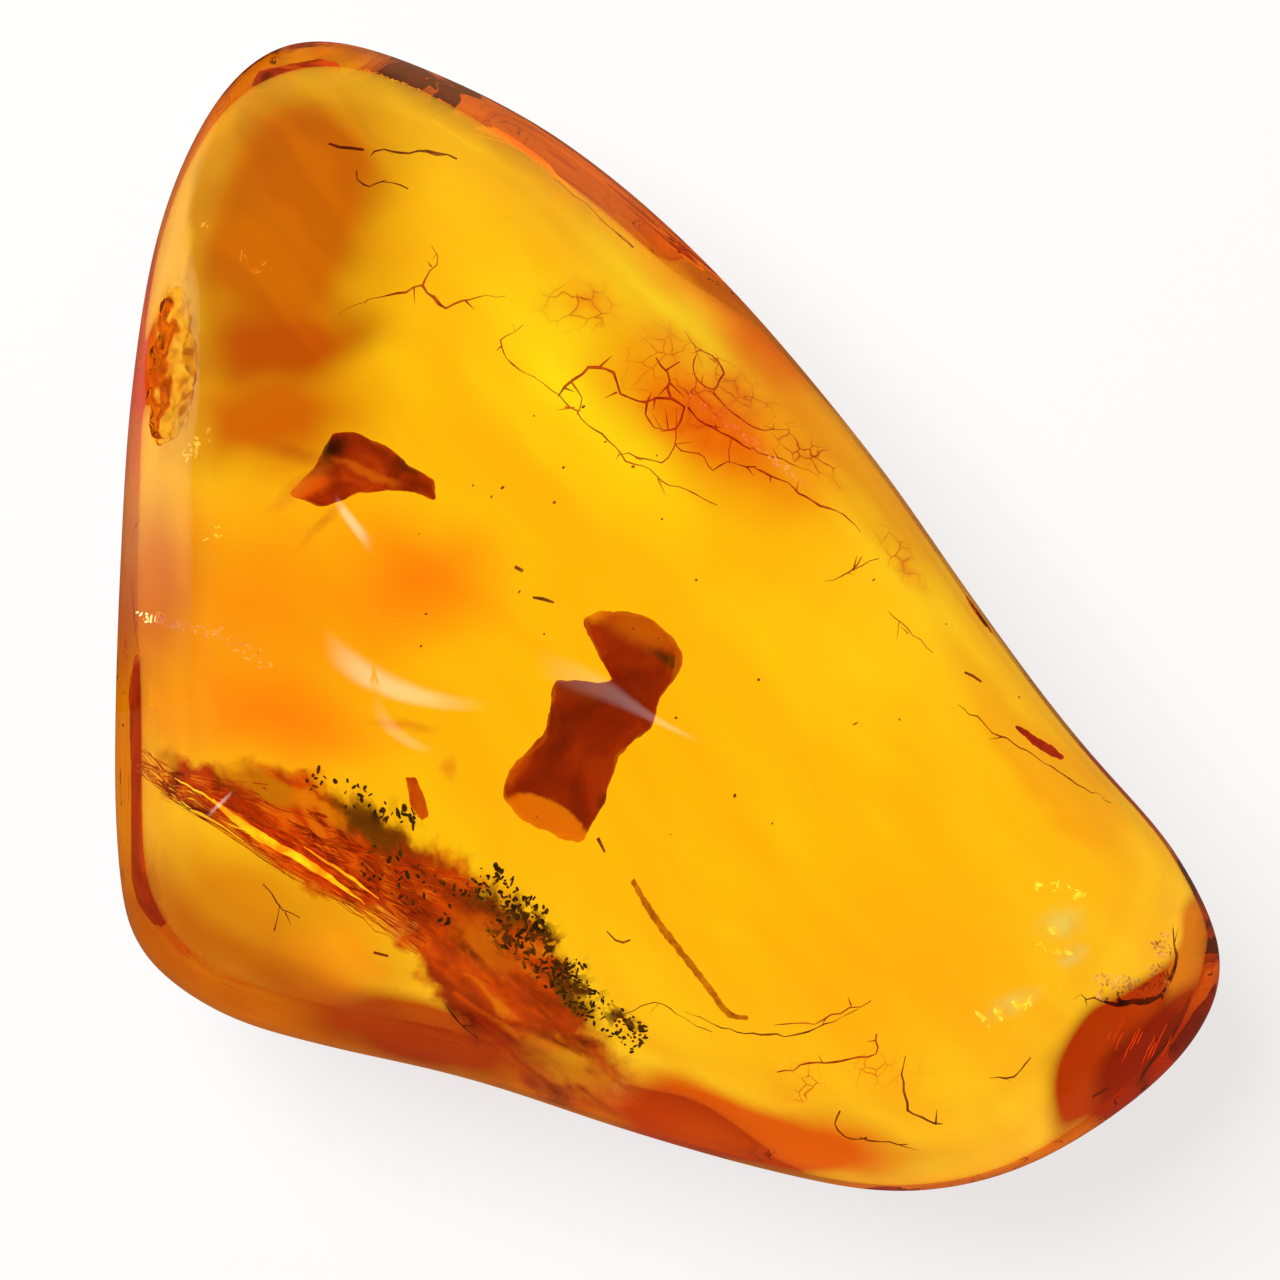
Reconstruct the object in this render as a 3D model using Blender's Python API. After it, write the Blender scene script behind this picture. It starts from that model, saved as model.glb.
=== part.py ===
"""Polished amber pebble with plant debris sealed inside it.

The amber is parted in two along a level plane, so that each inclusion lies in a pocket of its own.
X runs to the right and Y away from the viewer who looks down on the pebble, and Z is up.
The origin is under the middle of the pebble, in the plane of the flat that it rests on.
"""

import math

import bmesh
import bpy
from mathutils import Matrix, Vector, noise

MM = 0.001

# Driving dimensions of the amber, in millimetres
THICKNESS = 19.0
RIM_HEIGHT = 8.2
PARTING_HEIGHT = 9.0
GAP = 0.3
HEART = (-3.2, -2.4)  # the point that the rings of the body close on
AROUND = 92
RINGS_ABOVE = 13
RINGS_BELOW = 12
CROWN_FULLNESS = 2.35
BASE_FLAT = 0.16  # how much of the belly the polisher ground off flat

# The pebble's outline seen from above, clockwise from its top corner
OUTLINE = [
    (-14.0, 22.95),
    (-10.0, 21.9),
    (-4.0, 18.8),
    (2.0, 13.6),
    (8.0, 6.5),
    (12.1, 0.7),
    (16.1, -4.7),
    (20.1, -9.3),
    (22.1, -13.8),
    (20.9, -17.2),
    (17.4, -20.2),
    (13.3, -22.3),
    (8.9, -22.95),
    (4.0, -22.1),
    (-2.0, -20.4),
    (-8.0, -18.4),
    (-13.5, -17.2),
    (-18.0, -15.8),
    (-21.2, -13.1),
    (-22.0, -9.0),
    (-22.05, -3.4),
    (-21.8, 3.0),
    (-21.4, 8.8),
    (-20.4, 15.0),
    (-18.7, 19.4),
    (-16.6, 22.1),
]

# How full the belly is in each compass direction: a high number tucks it under close to the rim
BELLY_FULLNESS = {
    10: 4.0,
    40: 4.0,
    62: 3.2,
    85: 2.4,
    110: 2.4,
    135: 3.2,
    165: 3.0,
    190: 2.6,
    225: 2.2,
    265: 2.1,
    285: 2.4,
    303: 3.4,
    330: 3.2,
}

# Broad facets left by polishing: a point on each, its downhill heading, its slope and how far it
# fades into the crown, all in millimetres and degrees
CROWN_FACETS = [
    {"at": (-19.6, 2.0, 13.2), "heading": 180, "slope": 52, "fade": 2.2},
    {"at": (6.0, 9.0, 10.8), "heading": 48, "slope": 58, "fade": 2.0},
    {"at": (-2.0, -19.5, 12.0), "heading": 252, "slope": 42, "fade": 3.0},
    {"at": (19.0, -16.0, 12.0), "heading": 330, "slope": 40, "fade": 3.0},
]

# Facets under the rim, the same way, with the slope rising towards the heading
BELLY_FACETS = [
    {"at": (17.4, -16.0, 0.0), "heading": 322, "slope": 58, "fade": 0.8},
    {"at": (-18.2, -13.9, 0.0), "heading": 222, "slope": 60, "fade": 1.2},
]

# Rough hollows where the surface broke away: lumps that are cut out of the amber
HOLLOWS = {
    "pit": {
        "centre": (-19.8, 9.8, 13.2),
        "size": (3.9, 6.6, 2.6),
        "lean": -52,
        "turn": -3,
        "roughness": 0.9,
    },
    "left_nick": {
        "centre": (-18.6, 19.7, 11.4),
        "size": (1.4, 1.9, 1.2),
        "lean": -50,
        "turn": -28,
        "roughness": 0.3,
    },
    "right_nick": {
        "centre": (12.0, 0.1, 11.2),
        "size": (1.4, 2.3, 1.2),
        "lean": 60,
        "turn": 35,
        "roughness": 0.3,
    },
}

# The piece of bark at the middle, seen from above
BARK_OUTLINE = [
    (-3.42, -0.1),
    (-2.74, 0.1),
    (-1.74, 0.0),
    (-0.74, -0.38),
    (0.0, -0.98),
    (0.46, -1.78),
    (0.38, -2.58),
    (-0.14, -3.46),
    (-0.54, -4.78),
    (-1.14, -5.18),
    (-1.86, -5.78),
    (-2.14, -6.78),
    (-2.26, -7.46),
    (-3.14, -8.66),
    (-4.34, -8.42),
    (-5.54, -7.86),
    (-6.62, -6.98),
    (-6.42, -6.18),
    (-4.94, -5.06),
    (-4.74, -3.78),
    (-4.5, -2.66),
    (-2.74, -2.9),
    (-2.02, -2.74),
    (-2.74, -1.58),
]
BARK_CHIP = {"outline": BARK_OUTLINE, "height": 9.3, "thickness": 2.4, "edge": 0.5, "lean": (0.06, 0.1)}

# The folded bud scale beside it, seen from above
HUSK_OUTLINE = [
    (-12.94, 7.34),
    (-12.14, 7.42),
    (-10.94, 6.82),
    (-10.02, 5.98),
    (-9.14, 5.42),
    (-9.1, 4.7),
    (-9.78, 4.98),
    (-10.74, 5.1),
    (-11.94, 4.98),
    (-13.34, 4.42),
    (-14.34, 4.94),
    (-13.54, 6.02),
]
BUD_HUSK = {"outline": HUSK_OUTLINE, "height": 9.4, "thickness": 1.8, "edge": 0.3, "lean": (-0.1, 0.16)}

# A flake of leaf no bigger than a sesame seed
FLAKE_OUTLINE = [
    (-10.26, -6.44),
    (-9.86, -6.5),
    (-9.6, -6.86),
    (-9.36, -7.58),
    (-9.6, -7.72),
    (-10.1, -7.24),
]
LEAF_FLAKE = {"outline": FLAKE_OUTLINE, "height": 9.1, "thickness": 0.6, "edge": 0.12, "lean": (0.1, 0.1)}

# Long inclusions: places along each one with the width there, how thick it is for its width and
# how far it is rolled about its length
DEBRIS_SEAM = {
    "places": [
        (-20.6, -6.5, 9.0, 0.9),
        (-18.6, -7.2, 9.0, 1.8),
        (-15.6, -8.4, 9.1, 3.0),
        (-12.6, -10.2, 9.2, 3.6),
        (-9.9, -12.2, 9.1, 4.4),
        (-7.3, -13.9, 9.0, 4.4),
        (-4.4, -15.4, 8.9, 3.6),
        (-1.8, -16.6, 8.9, 1.6),
    ],
    "sections": 22,
    "sides": 12,
    "flatness": 0.27,
    "roll": 28,
    "roughness": 0.16,
}
PLANT_HAIR = {
    "places": [
        (-1.14, -9.38, 9.3, 0.18),
        (-0.14, -10.58, 9.1, 0.26),
        (1.26, -12.1, 9.0, 0.26),
        (2.14, -13.18, 9.0, 0.26),
        (2.86, -14.06, 9.0, 0.26),
        (3.54, -14.18, 9.1, 0.2),
    ],
    "sections": 16,
    "sides": 6,
    "flatness": 1.0,
    "roll": 0,
    "roughness": 0.0,
}
RED_SLIVER = {
    "places": [
        (11.9, -5.78, 9.1, 0.12),
        (12.6, -6.4, 9.0, 0.36),
        (13.1, -6.82, 9.0, 0.36),
        (13.72, -7.3, 8.9, 0.12),
    ],
    "sections": 8,
    "sides": 8,
    "flatness": 0.8,
    "roll": 0,
    "roughness": 0.0,
}


def clear_scene():
    """Removes the objects that Blender starts with."""
    for thing in list(bpy.data.objects):
        bpy.data.objects.remove(thing)


def material(name, colour, roughness, transmission=0.0):
    """A plain Principled material."""
    made = bpy.data.materials.new(name)
    made.use_nodes = True
    shader = made.node_tree.nodes["Principled BSDF"]
    shader.inputs["Base Color"].default_value = (*colour, 1.0)
    shader.inputs["Roughness"].default_value = roughness
    shader.inputs["Transmission Weight"].default_value = transmission
    shader.inputs["IOR"].default_value = 1.54
    return made


def new_object(name, bm, finish=None):
    """An object that holds the mesh of bm, which is in millimetres."""
    bmesh.ops.recalc_face_normals(bm, faces=bm.faces)
    bmesh.ops.scale(bm, vec=(MM, MM, MM), verts=bm.verts)
    mesh = bpy.data.meshes.new(name)
    bm.to_mesh(mesh)
    bm.free()
    made = bpy.data.objects.new(name, mesh)
    bpy.context.scene.collection.objects.link(made)
    if finish:
        mesh.materials.append(finish)
    return made


def new_cutter(name, bm):
    """An object that cuts a hollow and isn't a piece of the pebble."""
    cutter = new_object(name, bm)
    cutter.hide_render = True
    cutter.display_type = "WIRE"
    return cutter


def cut(target, cutter):
    """Takes the cutter's form away from the target."""
    step = target.modifiers.new("cut " + cutter.name, "BOOLEAN")
    step.operation = "DIFFERENCE"
    step.solver = "EXACT"
    step.object = cutter


def soft_min(a, b, fade):
    """The lower of two heights, rounded over where they meet."""
    near = max(fade - abs(a - b), 0.0) / fade
    return min(a, b) - near * near * fade / 4


def spline_point(a, b, c, d, t):
    """A point on the smooth curve between b and c, whose neighbours are a and d."""
    bend = 2 * a - 5 * b + 4 * c - d
    twist = 3 * b - a - 3 * c + d
    return 0.5 * (2 * b + (c - a) * t + bend * t * t + twist * t ** 3)


def smooth_loop(points, count):
    """Evenly spaced points on the smooth closed curve through the given ones."""
    corners = [Vector(p) for p in points]
    fine = []
    steps = 16
    for i in range(len(corners)):
        a, b, c, d = (corners[(i + k - 1) % len(corners)] for k in range(4))
        for step in range(steps):
            fine.append(spline_point(a, b, c, d, step / steps))
    lengths = [(fine[(i + 1) % len(fine)] - p).length for i, p in enumerate(fine)]
    spacing = sum(lengths) / count
    found = []
    walked = 0.0
    for i, length in enumerate(lengths):
        while len(found) < count and len(found) * spacing < walked + length:
            share = (len(found) * spacing - walked) / length
            found.append(fine[i].lerp(fine[(i + 1) % len(fine)], share))
        walked += length
    return found


def by_compass(values, degrees):
    """A value between those stated for the compass directions on either side."""
    stops = sorted(values)
    degrees %= 360
    low = max((s for s in stops if s <= degrees), default=stops[-1] - 360)
    high = min((s for s in stops if s > degrees), default=stops[0] + 360)
    share = (degrees - low) / (high - low)
    share = share * share * (3 - 2 * share)
    return values[low % 360] * (1 - share) + values[high % 360] * share


def facet_height(facet, x, y):
    """The height of a facet's plane over a point."""
    px, py, pz = facet["at"]
    heading = math.radians(facet["heading"])
    downhill = (x - px) * math.cos(heading) + (y - py) * math.sin(heading)
    return pz - downhill * math.tan(math.radians(facet["slope"]))


def body_point(edge, share, side):
    """A point of the amber's surface, from the rim at share 0 to the heart at share 1.

    The side is 1 for the crown and -1 for the belly.
    """
    heart = Vector(HEART)
    compass = math.degrees(math.atan2(edge.y - heart.y, edge.x - heart.x))
    turn = share * math.pi / 2
    full = CROWN_FULLNESS if side > 0 else by_compass(BELLY_FULLNESS, compass)
    reach = max(math.cos(turn), 0.0) ** (2 / full)
    rise = math.sin(turn) ** (2 / full)
    spot = heart + (edge - heart) * reach
    if side < 0:
        height = RIM_HEIGHT - (RIM_HEIGHT + BASE_FLAT) * rise
        for facet in BELLY_FACETS:
            depth = facet_height(facet, spot.x, spot.y)
            height = -soft_min(-height, depth, facet["fade"])
        return Vector((spot.x, spot.y, min(max(height, 0.0), RIM_HEIGHT)))
    height = RIM_HEIGHT + (THICKNESS - RIM_HEIGHT) * rise
    for facet in CROWN_FACETS:
        height = soft_min(height, facet_height(facet, spot.x, spot.y), facet["fade"])
    return Vector((spot.x, spot.y, max(height, RIM_HEIGHT)))


def close_rings(bm, rings):
    """Joins rings of equal count with quads and closes both ends."""
    loops = [[bm.verts.new(p) for p in ring] for ring in rings]
    count = len(loops[0])
    for low, high in zip(loops, loops[1:]):
        for i in range(count):
            j = (i + 1) % count
            bm.faces.new((low[i], low[j], high[j], high[i]))
    caps = [bm.faces.new(list(reversed(loops[0]))), bm.faces.new(loops[-1])]
    bmesh.ops.triangulate(bm, faces=caps)


def amber_body():
    """The whole pebble as one closed mesh, with a flat base."""
    bm = bmesh.new()
    edge = smooth_loop(OUTLINE, AROUND)
    below = [[body_point(p, k / RINGS_BELOW, -1) for p in edge] for k in range(RINGS_BELOW, 0, -1)]
    above = [[body_point(p, k / RINGS_ABOVE, 1) for p in edge] for k in range(RINGS_ABOVE)]
    flat = [ring for ring in below if max(p.z for p in ring) <= 0]
    close_rings(bm, flat[-1:] + below[len(flat):] + above)
    return bm


def block(low, high):
    """A box over the whole pebble between two heights."""
    bm = bmesh.new()
    bmesh.ops.create_cube(bm, size=1.0)
    bmesh.ops.scale(bm, vec=(60, 60, high - low), verts=bm.verts)
    bmesh.ops.translate(bm, vec=(0, 0, (low + high) / 2), verts=bm.verts)
    return bm


def lump(centre, size, lean, turn, roughness):
    """A rough ellipsoid, leaned over sideways and then turned about an upright axis."""
    bm = bmesh.new()
    bmesh.ops.create_icosphere(bm, subdivisions=3, radius=0.5)
    for vert in bm.verts:
        vert.co = Vector(a * b for a, b in zip(vert.co, size))
        vert.co += vert.co.normalized() * roughness * noise.noise(vert.co * 0.9)
    bmesh.ops.rotate(bm, matrix=Matrix.Rotation(math.radians(lean), 3, "Y"), verts=bm.verts)
    bmesh.ops.rotate(bm, matrix=Matrix.Rotation(math.radians(turn), 3, "Z"), verts=bm.verts)
    bmesh.ops.translate(bm, vec=centre, verts=bm.verts)
    return bm


def offset_loop(points, distance):
    """A closed outline moved out by a distance, or in by a negative one."""
    corners = [Vector(p) for p in points]
    moved = []
    for i, corner in enumerate(corners):
        back = (corner - corners[i - 1]).normalized()
        ahead = (corners[(i + 1) % len(corners)] - corner).normalized()
        out = Vector((-(back.y + ahead.y), back.x + ahead.x)).normalized()
        spread = max(out.dot(Vector((-ahead.y, ahead.x))), 0.6)
        moved.append(corner + out * distance / spread)
    return moved


def plate(outline, height, thickness, edge, lean, grow=0.0):
    """A flat fragment with softened edges, whose outline runs clockwise seen from above."""
    middle = sum((Vector(p) for p in outline), Vector((0, 0))) / len(outline)
    half = thickness / 2
    layers = [(-edge, -half), (0.0, edge - half), (0.0, half - edge), (-edge, half)]
    rings = []
    for inset, rise in layers:
        ring = []
        for p in offset_loop(outline, inset + grow):
            tilt = (p - middle).dot(Vector(lean))
            ring.append(Vector((p.x, p.y, height + tilt + rise + math.copysign(grow, rise))))
        rings.append(ring)
    bm = bmesh.new()
    close_rings(bm, rings)
    return bm


def along(places, count):
    """Points and widths on the smooth curve through the given places."""
    ends = [places[0], *places, places[-1]]
    corners = [Vector(p) for p in ends]
    found = []
    for k in range(count):
        reach = k / (count - 1) * (len(places) - 1)
        i = min(int(reach), len(places) - 2)
        t = reach - i
        a, b, c, d = corners[i:i + 4]
        found.append(spline_point(a, b, c, d, t))
    return found


def strand(places, sections, sides, flatness, roll, roughness, grow=0.0):
    """A long body with an elliptical section that follows the given places."""
    stops = along(places, sections)
    rings = []
    for i, stop in enumerate(stops):
        ahead = (stops[min(i + 1, sections - 1)] - stops[max(i - 1, 0)]).to_3d().normalized()
        level = ahead.cross(Vector((0, 0, 1))).normalized()
        side = Matrix.Rotation(math.radians(roll), 3, ahead) @ level
        up = side.cross(ahead)
        middle = stop.to_3d()
        if i in (0, sections - 1):
            middle += ahead * (grow if i else -grow)
        ring = []
        for k in range(sides):
            turn = 2 * math.pi * k / sides
            swell = 1 + roughness * noise.noise(middle * 0.5 + Vector((3 * k, 0, 0)))
            wide = stop.w / 2 * swell + grow
            thick = stop.w / 2 * flatness * swell + grow
            ring.append(middle + side * wide * math.cos(turn) + up * thick * math.sin(turn))
        rings.append(ring)
    bm = bmesh.new()
    close_rings(bm, rings)
    return bm


def main():
    """Builds every piece of the pebble."""
    clear_scene()
    amber = material("amber", (1.0, 0.55, 0.05), 0.04, transmission=1.0)
    bark = material("bark", (0.24, 0.03, 0.008), 0.5)
    husk = material("bud husk", (0.3, 0.05, 0.012), 0.5)
    leaf = material("leaf", (0.55, 0.1, 0.01), 0.5)
    debris = material("plant debris", (0.32, 0.09, 0.012), 0.7)
    resin = material("red resin", (0.45, 0.04, 0.01), 0.3)
    hair = material("plant hair", (0.16, 0.05, 0.01), 0.5)

    flat_pieces = {
        "bark_chip": (BARK_CHIP, bark),
        "bud_husk": (BUD_HUSK, husk),
        "leaf_flake": (LEAF_FLAKE, leaf),
    }
    long_pieces = {
        "debris_seam": (DEBRIS_SEAM, debris),
        "plant_hair": (PLANT_HAIR, hair),
        "red_sliver": (RED_SLIVER, resin),
    }
    pockets = []
    for name, (form, finish) in flat_pieces.items():
        new_object(name, plate(**form), finish)
        pockets.append(new_cutter(name + " pocket", plate(**form, grow=GAP)))
    for name, (form, finish) in long_pieces.items():
        new_object(name, strand(**form), finish).data.shade_smooth()
        pockets.append(new_cutter(name + " pocket", strand(**form, grow=GAP)))

    hollows = [new_cutter(name, lump(**form)) for name, form in HOLLOWS.items()]
    below = new_cutter("below the parting", block(-5, PARTING_HEIGHT + GAP / 2))
    above = new_cutter("above the parting", block(PARTING_HEIGHT - GAP / 2, 25))

    lower = new_object("amber_lower", amber_body(), amber)
    upper = new_object("amber_upper", amber_body(), amber)
    for half in (lower, upper):
        half.data.shade_smooth()
    cut(lower, above)
    cut(upper, below)
    for cutter in hollows:
        cut(upper, cutter)
    for cutter in pockets:
        cut(lower, cutter)
        cut(upper, cutter)


if __name__ == "__main__":
    main()
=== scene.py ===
"""Looks of a polished amber pebble: one clear stone, what is sealed inside it, and a soft studio."""

import math
import random

import bpy
from mathutils import Matrix, Vector


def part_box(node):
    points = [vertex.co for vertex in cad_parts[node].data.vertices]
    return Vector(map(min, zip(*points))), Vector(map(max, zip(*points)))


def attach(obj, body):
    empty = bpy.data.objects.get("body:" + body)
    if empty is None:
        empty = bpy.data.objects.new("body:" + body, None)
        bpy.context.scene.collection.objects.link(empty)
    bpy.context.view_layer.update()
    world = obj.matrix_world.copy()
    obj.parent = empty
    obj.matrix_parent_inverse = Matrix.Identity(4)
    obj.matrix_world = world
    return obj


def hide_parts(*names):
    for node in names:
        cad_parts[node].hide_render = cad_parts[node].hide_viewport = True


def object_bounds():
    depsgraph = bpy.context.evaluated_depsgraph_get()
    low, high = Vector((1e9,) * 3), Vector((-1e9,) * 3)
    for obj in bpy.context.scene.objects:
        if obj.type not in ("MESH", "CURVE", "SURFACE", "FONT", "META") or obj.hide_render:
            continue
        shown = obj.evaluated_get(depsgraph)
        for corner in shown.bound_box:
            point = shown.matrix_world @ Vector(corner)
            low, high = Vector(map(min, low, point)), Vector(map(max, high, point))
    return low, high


MM = 0.001
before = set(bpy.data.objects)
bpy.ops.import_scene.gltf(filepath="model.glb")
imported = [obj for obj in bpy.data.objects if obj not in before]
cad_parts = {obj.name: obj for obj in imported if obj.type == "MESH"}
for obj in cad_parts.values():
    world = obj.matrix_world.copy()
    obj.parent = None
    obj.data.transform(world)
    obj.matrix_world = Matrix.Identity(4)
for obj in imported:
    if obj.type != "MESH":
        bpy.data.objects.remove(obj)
CAD_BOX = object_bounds()
LOW, HIGH = (Vector(corner) for corner in CAD_BOX)
MIDDLE = (LOW + HIGH) / 2

FULL_FRAME = 51.2 * MM  # what the picture spans across
VIEW_CENTRE = Vector((-1.14, -0.98, 0.0)) * MM
LENS = 120.0
SENSOR = 36.0


# Small helpers


def deselect_all():
    for thing in bpy.context.selected_objects:
        thing.select_set(False)


def select_only(*things):
    deselect_all()
    for thing in things:
        thing.select_set(True)
    bpy.context.view_layer.objects.active = things[0]


def place(x, y, z):
    """A place given in millimetres."""
    return Vector((x, y, z)) * MM


def spot(x, y, long, wide, turn, soft, colour=None, z=9, deep=30):
    """A soft-edged oval region, in millimetres and turned in degrees about the upright."""
    return {"centre": (x, y, z), "reach": (long, wide, deep), "turn": turn, "soft": soft, "colour": colour}


def copy_of_nodes(name, *nodes):
    """One merged mesh copied from CAD nodes."""
    copies = []
    for node in nodes:
        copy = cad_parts[node].copy()
        copy.data = copy.data.copy()
        copy.parent = None
        copy.matrix_world = Matrix.Identity(4)
        bpy.context.scene.collection.objects.link(copy)
        copies.append(copy)
    select_only(*copies)
    if len(copies) > 1:
        bpy.ops.object.join()
    made = bpy.context.object
    made.name = made.data.name = name
    made.data.materials.clear()
    bpy.ops.object.mode_set(mode="EDIT")
    bpy.ops.mesh.select_all(action="SELECT")
    bpy.ops.mesh.remove_doubles(threshold=1e-6)
    bpy.ops.object.mode_set(mode="OBJECT")
    return made


def modify(thing, kind, **settings):
    """Adds a modifier and applies it."""
    step = thing.modifiers.new(kind.lower(), kind)
    for key, value in settings.items():
        setattr(step, key, value)
    select_only(thing)
    bpy.ops.object.modifier_apply(modifier=step.name)


def crumple(thing, size, amount, coordinates="GLOBAL", direction="NORMAL", **settings):
    """Pushes a surface about by noise; size and amount are in millimetres, settings are the noise's."""
    texture = bpy.data.textures.new(thing.name + " noise", "CLOUDS")
    texture.noise_scale = size * MM
    for key, value in settings.items():
        setattr(texture, key, value)
    modify(
        thing,
        "DISPLACE",
        texture=texture,
        strength=amount * MM,
        texture_coords=coordinates,
        direction=direction,
    )


def finish(thing, material, replaces=()):
    """Gives a piece its material and ties it to the frame."""
    thing.data.materials.clear()
    thing.data.materials.append(material)
    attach(thing, "root")
    if replaces:
        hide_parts(*replaces)


def remove(*things):
    for thing in things:
        bpy.data.objects.remove(thing)


# Shader helpers


def feed(tree, socket, value):
    """Links an output to a socket, or sets the socket to a plain value."""
    if hasattr(value, "is_output"):
        tree.links.new(value, socket)
    else:
        socket.default_value = value


def add_node(tree, kind, **values):
    """A shader node; a value that is no setting of the node goes to the input of that name."""
    made = tree.nodes.new("ShaderNode" + kind)
    for key, value in values.items():
        if hasattr(made, key):
            setattr(made, key, value)
        else:
            feed(tree, made.inputs[key], value)
    return made


def noise(tree, coordinates, scale, detail, distortion=0.0):
    """The value of a noise texture."""
    made = add_node(
        tree, "TexNoise", Vector=coordinates, Scale=scale, Detail=detail, Distortion=distortion
    )
    return made.outputs["Fac"]


def stretched(tree, coordinates, stretch, turn):
    """Coordinates drawn out along x, y and z after a turn in degrees about the upright."""
    turned = (0, 0, math.radians(turn))
    made = add_node(
        tree, "Mapping", Vector=coordinates, vector_type="TEXTURE", Rotation=turned, Scale=stretch
    )
    return made.outputs[0]


def math_node(tree, operation, *operands, clamp=False):
    made = tree.nodes.new("ShaderNodeMath")
    made.operation = operation
    made.use_clamp = clamp
    for socket, value in zip(made.inputs, operands):
        feed(tree, socket, value)
    return made.outputs[0]


def mix_colour(tree, factor, a, b, blend="MIX"):
    made = tree.nodes.new("ShaderNodeMix")
    made.data_type = "RGBA"
    made.blend_type = blend
    made.clamp_factor = True
    feed(tree, made.inputs[0], factor)
    for socket, colour in zip((made.inputs[6], made.inputs[7]), (a, b)):
        feed(tree, socket, (*colour, 1.0) if isinstance(colour, tuple) else colour)
    return made.outputs[2]


def ramp(tree, value, stops):
    """A colour ramp with (position, colour) stops."""
    made = tree.nodes.new("ShaderNodeValToRGB")
    tree.links.new(value, made.inputs[0])
    points = made.color_ramp.elements
    while len(points) < len(stops):
        points.new(0.5)
    for point, (position, colour) in zip(points, stops):
        point.position = position
        point.color = (*colour, 1.0)
    return made.outputs[0]


def shades(tree, value, colours):
    """Colours from dark to light over the middle of a noise value."""
    stops = [(0.32 + 0.36 * k / (len(colours) - 1), colour) for k, colour in enumerate(colours)]
    return ramp(tree, value, stops)


def step_between(tree, value, low, high):
    """0 below low and 1 above high, eased between."""
    made = tree.nodes.new("ShaderNodeMapRange")
    made.interpolation_type = "SMOOTHSTEP"
    tree.links.new(value, made.inputs["Value"])
    made.inputs["From Min"].default_value = low
    made.inputs["From Max"].default_value = high
    return made.outputs[0]


def new_material(name):
    """A material with its Principled shader, tree and object coordinates."""
    made = bpy.data.materials.new(name)
    made.use_nodes = True
    made.cycles.emission_sampling = "NONE"
    tree = made.node_tree
    return made, tree, tree.nodes["Principled BSDF"], add_node(tree, "TexCoord").outputs["Object"]


def new_group(name, inputs, outputs):
    """An empty shader group; inputs and outputs are (name, kind, default) and (name, kind)."""
    tree = bpy.data.node_groups.new(name, "ShaderNodeTree")
    for title, kind, default in inputs:
        socket = tree.interface.new_socket(title, in_out="INPUT", socket_type="NodeSocket" + kind)
        socket.default_value = default
    for title, kind in outputs:
        tree.interface.new_socket(title, in_out="OUTPUT", socket_type="NodeSocket" + kind)
    return tree, tree.nodes.new("NodeGroupInput"), tree.nodes.new("NodeGroupOutput")


def use_group(tree, group, **values):
    made = tree.nodes.new("ShaderNodeGroup")
    made.node_tree = group
    for key, value in values.items():
        feed(tree, made.inputs[key], value)
    return made.outputs[0]


def patch_group():
    """A soft-edged oval patch around a centre, turned about the upright axis."""
    tree, inputs, outputs = new_group(
        "soft patch",
        [
            ("Place", "Vector", (0, 0, 0)),
            ("Centre", "Vector", (0, 0, 0)),
            ("Reach", "Vector", (0.01, 0.01, 0.01)),
            ("Turn", "Float", 0.0),
            ("Softness", "Float", 0.5),
        ],
        [("Mask", "Float")],
    )
    offset = add_node(tree, "VectorMath", operation="SUBTRACT")
    tree.links.new(inputs.outputs["Place"], offset.inputs[0])
    tree.links.new(inputs.outputs["Centre"], offset.inputs[1])
    turned = add_node(tree, "VectorRotate", rotation_type="Z_AXIS")
    tree.links.new(offset.outputs[0], turned.inputs["Vector"])
    angle = math_node(tree, "MULTIPLY", inputs.outputs["Turn"], -math.pi / 180)
    tree.links.new(angle, turned.inputs["Angle"])
    shares = add_node(tree, "VectorMath", operation="DIVIDE")
    tree.links.new(turned.outputs[0], shares.inputs[0])
    tree.links.new(inputs.outputs["Reach"], shares.inputs[1])
    away = add_node(tree, "VectorMath", operation="LENGTH")
    tree.links.new(shares.outputs[0], away.inputs[0])
    inner = math_node(tree, "SUBTRACT", 1.0, inputs.outputs["Softness"])
    edge = tree.nodes.new("ShaderNodeMapRange")
    edge.interpolation_type = "SMOOTHSTEP"
    tree.links.new(away.outputs["Value"], edge.inputs["Value"])
    tree.links.new(inner, edge.inputs["From Min"])
    edge.inputs["From Max"].default_value = 1.0
    edge.inputs["To Min"].default_value = 1.0
    edge.inputs["To Max"].default_value = 0.0
    tree.links.new(edge.outputs[0], outputs.inputs["Mask"])
    return tree


PATCH = patch_group()


def warped(tree, coordinates, size, amount, detail=3.0):
    """Coordinates pushed about by noise; size and amount are in millimetres."""
    clouds = add_node(tree, "TexNoise", Vector=coordinates, Scale=1 / (size * MM), Detail=detail)
    centred = add_node(tree, "VectorMath", operation="SUBTRACT")
    tree.links.new(clouds.outputs["Color"], centred.inputs[0])
    centred.inputs[1].default_value = (0.5, 0.5, 0.5)
    pushed = add_node(tree, "VectorMath", operation="MULTIPLY_ADD")
    tree.links.new(centred.outputs[0], pushed.inputs[0])
    pushed.inputs[1].default_value = (amount * MM,) * 3
    tree.links.new(coordinates, pushed.inputs[2])
    return pushed.outputs[0]


# The amber

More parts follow.
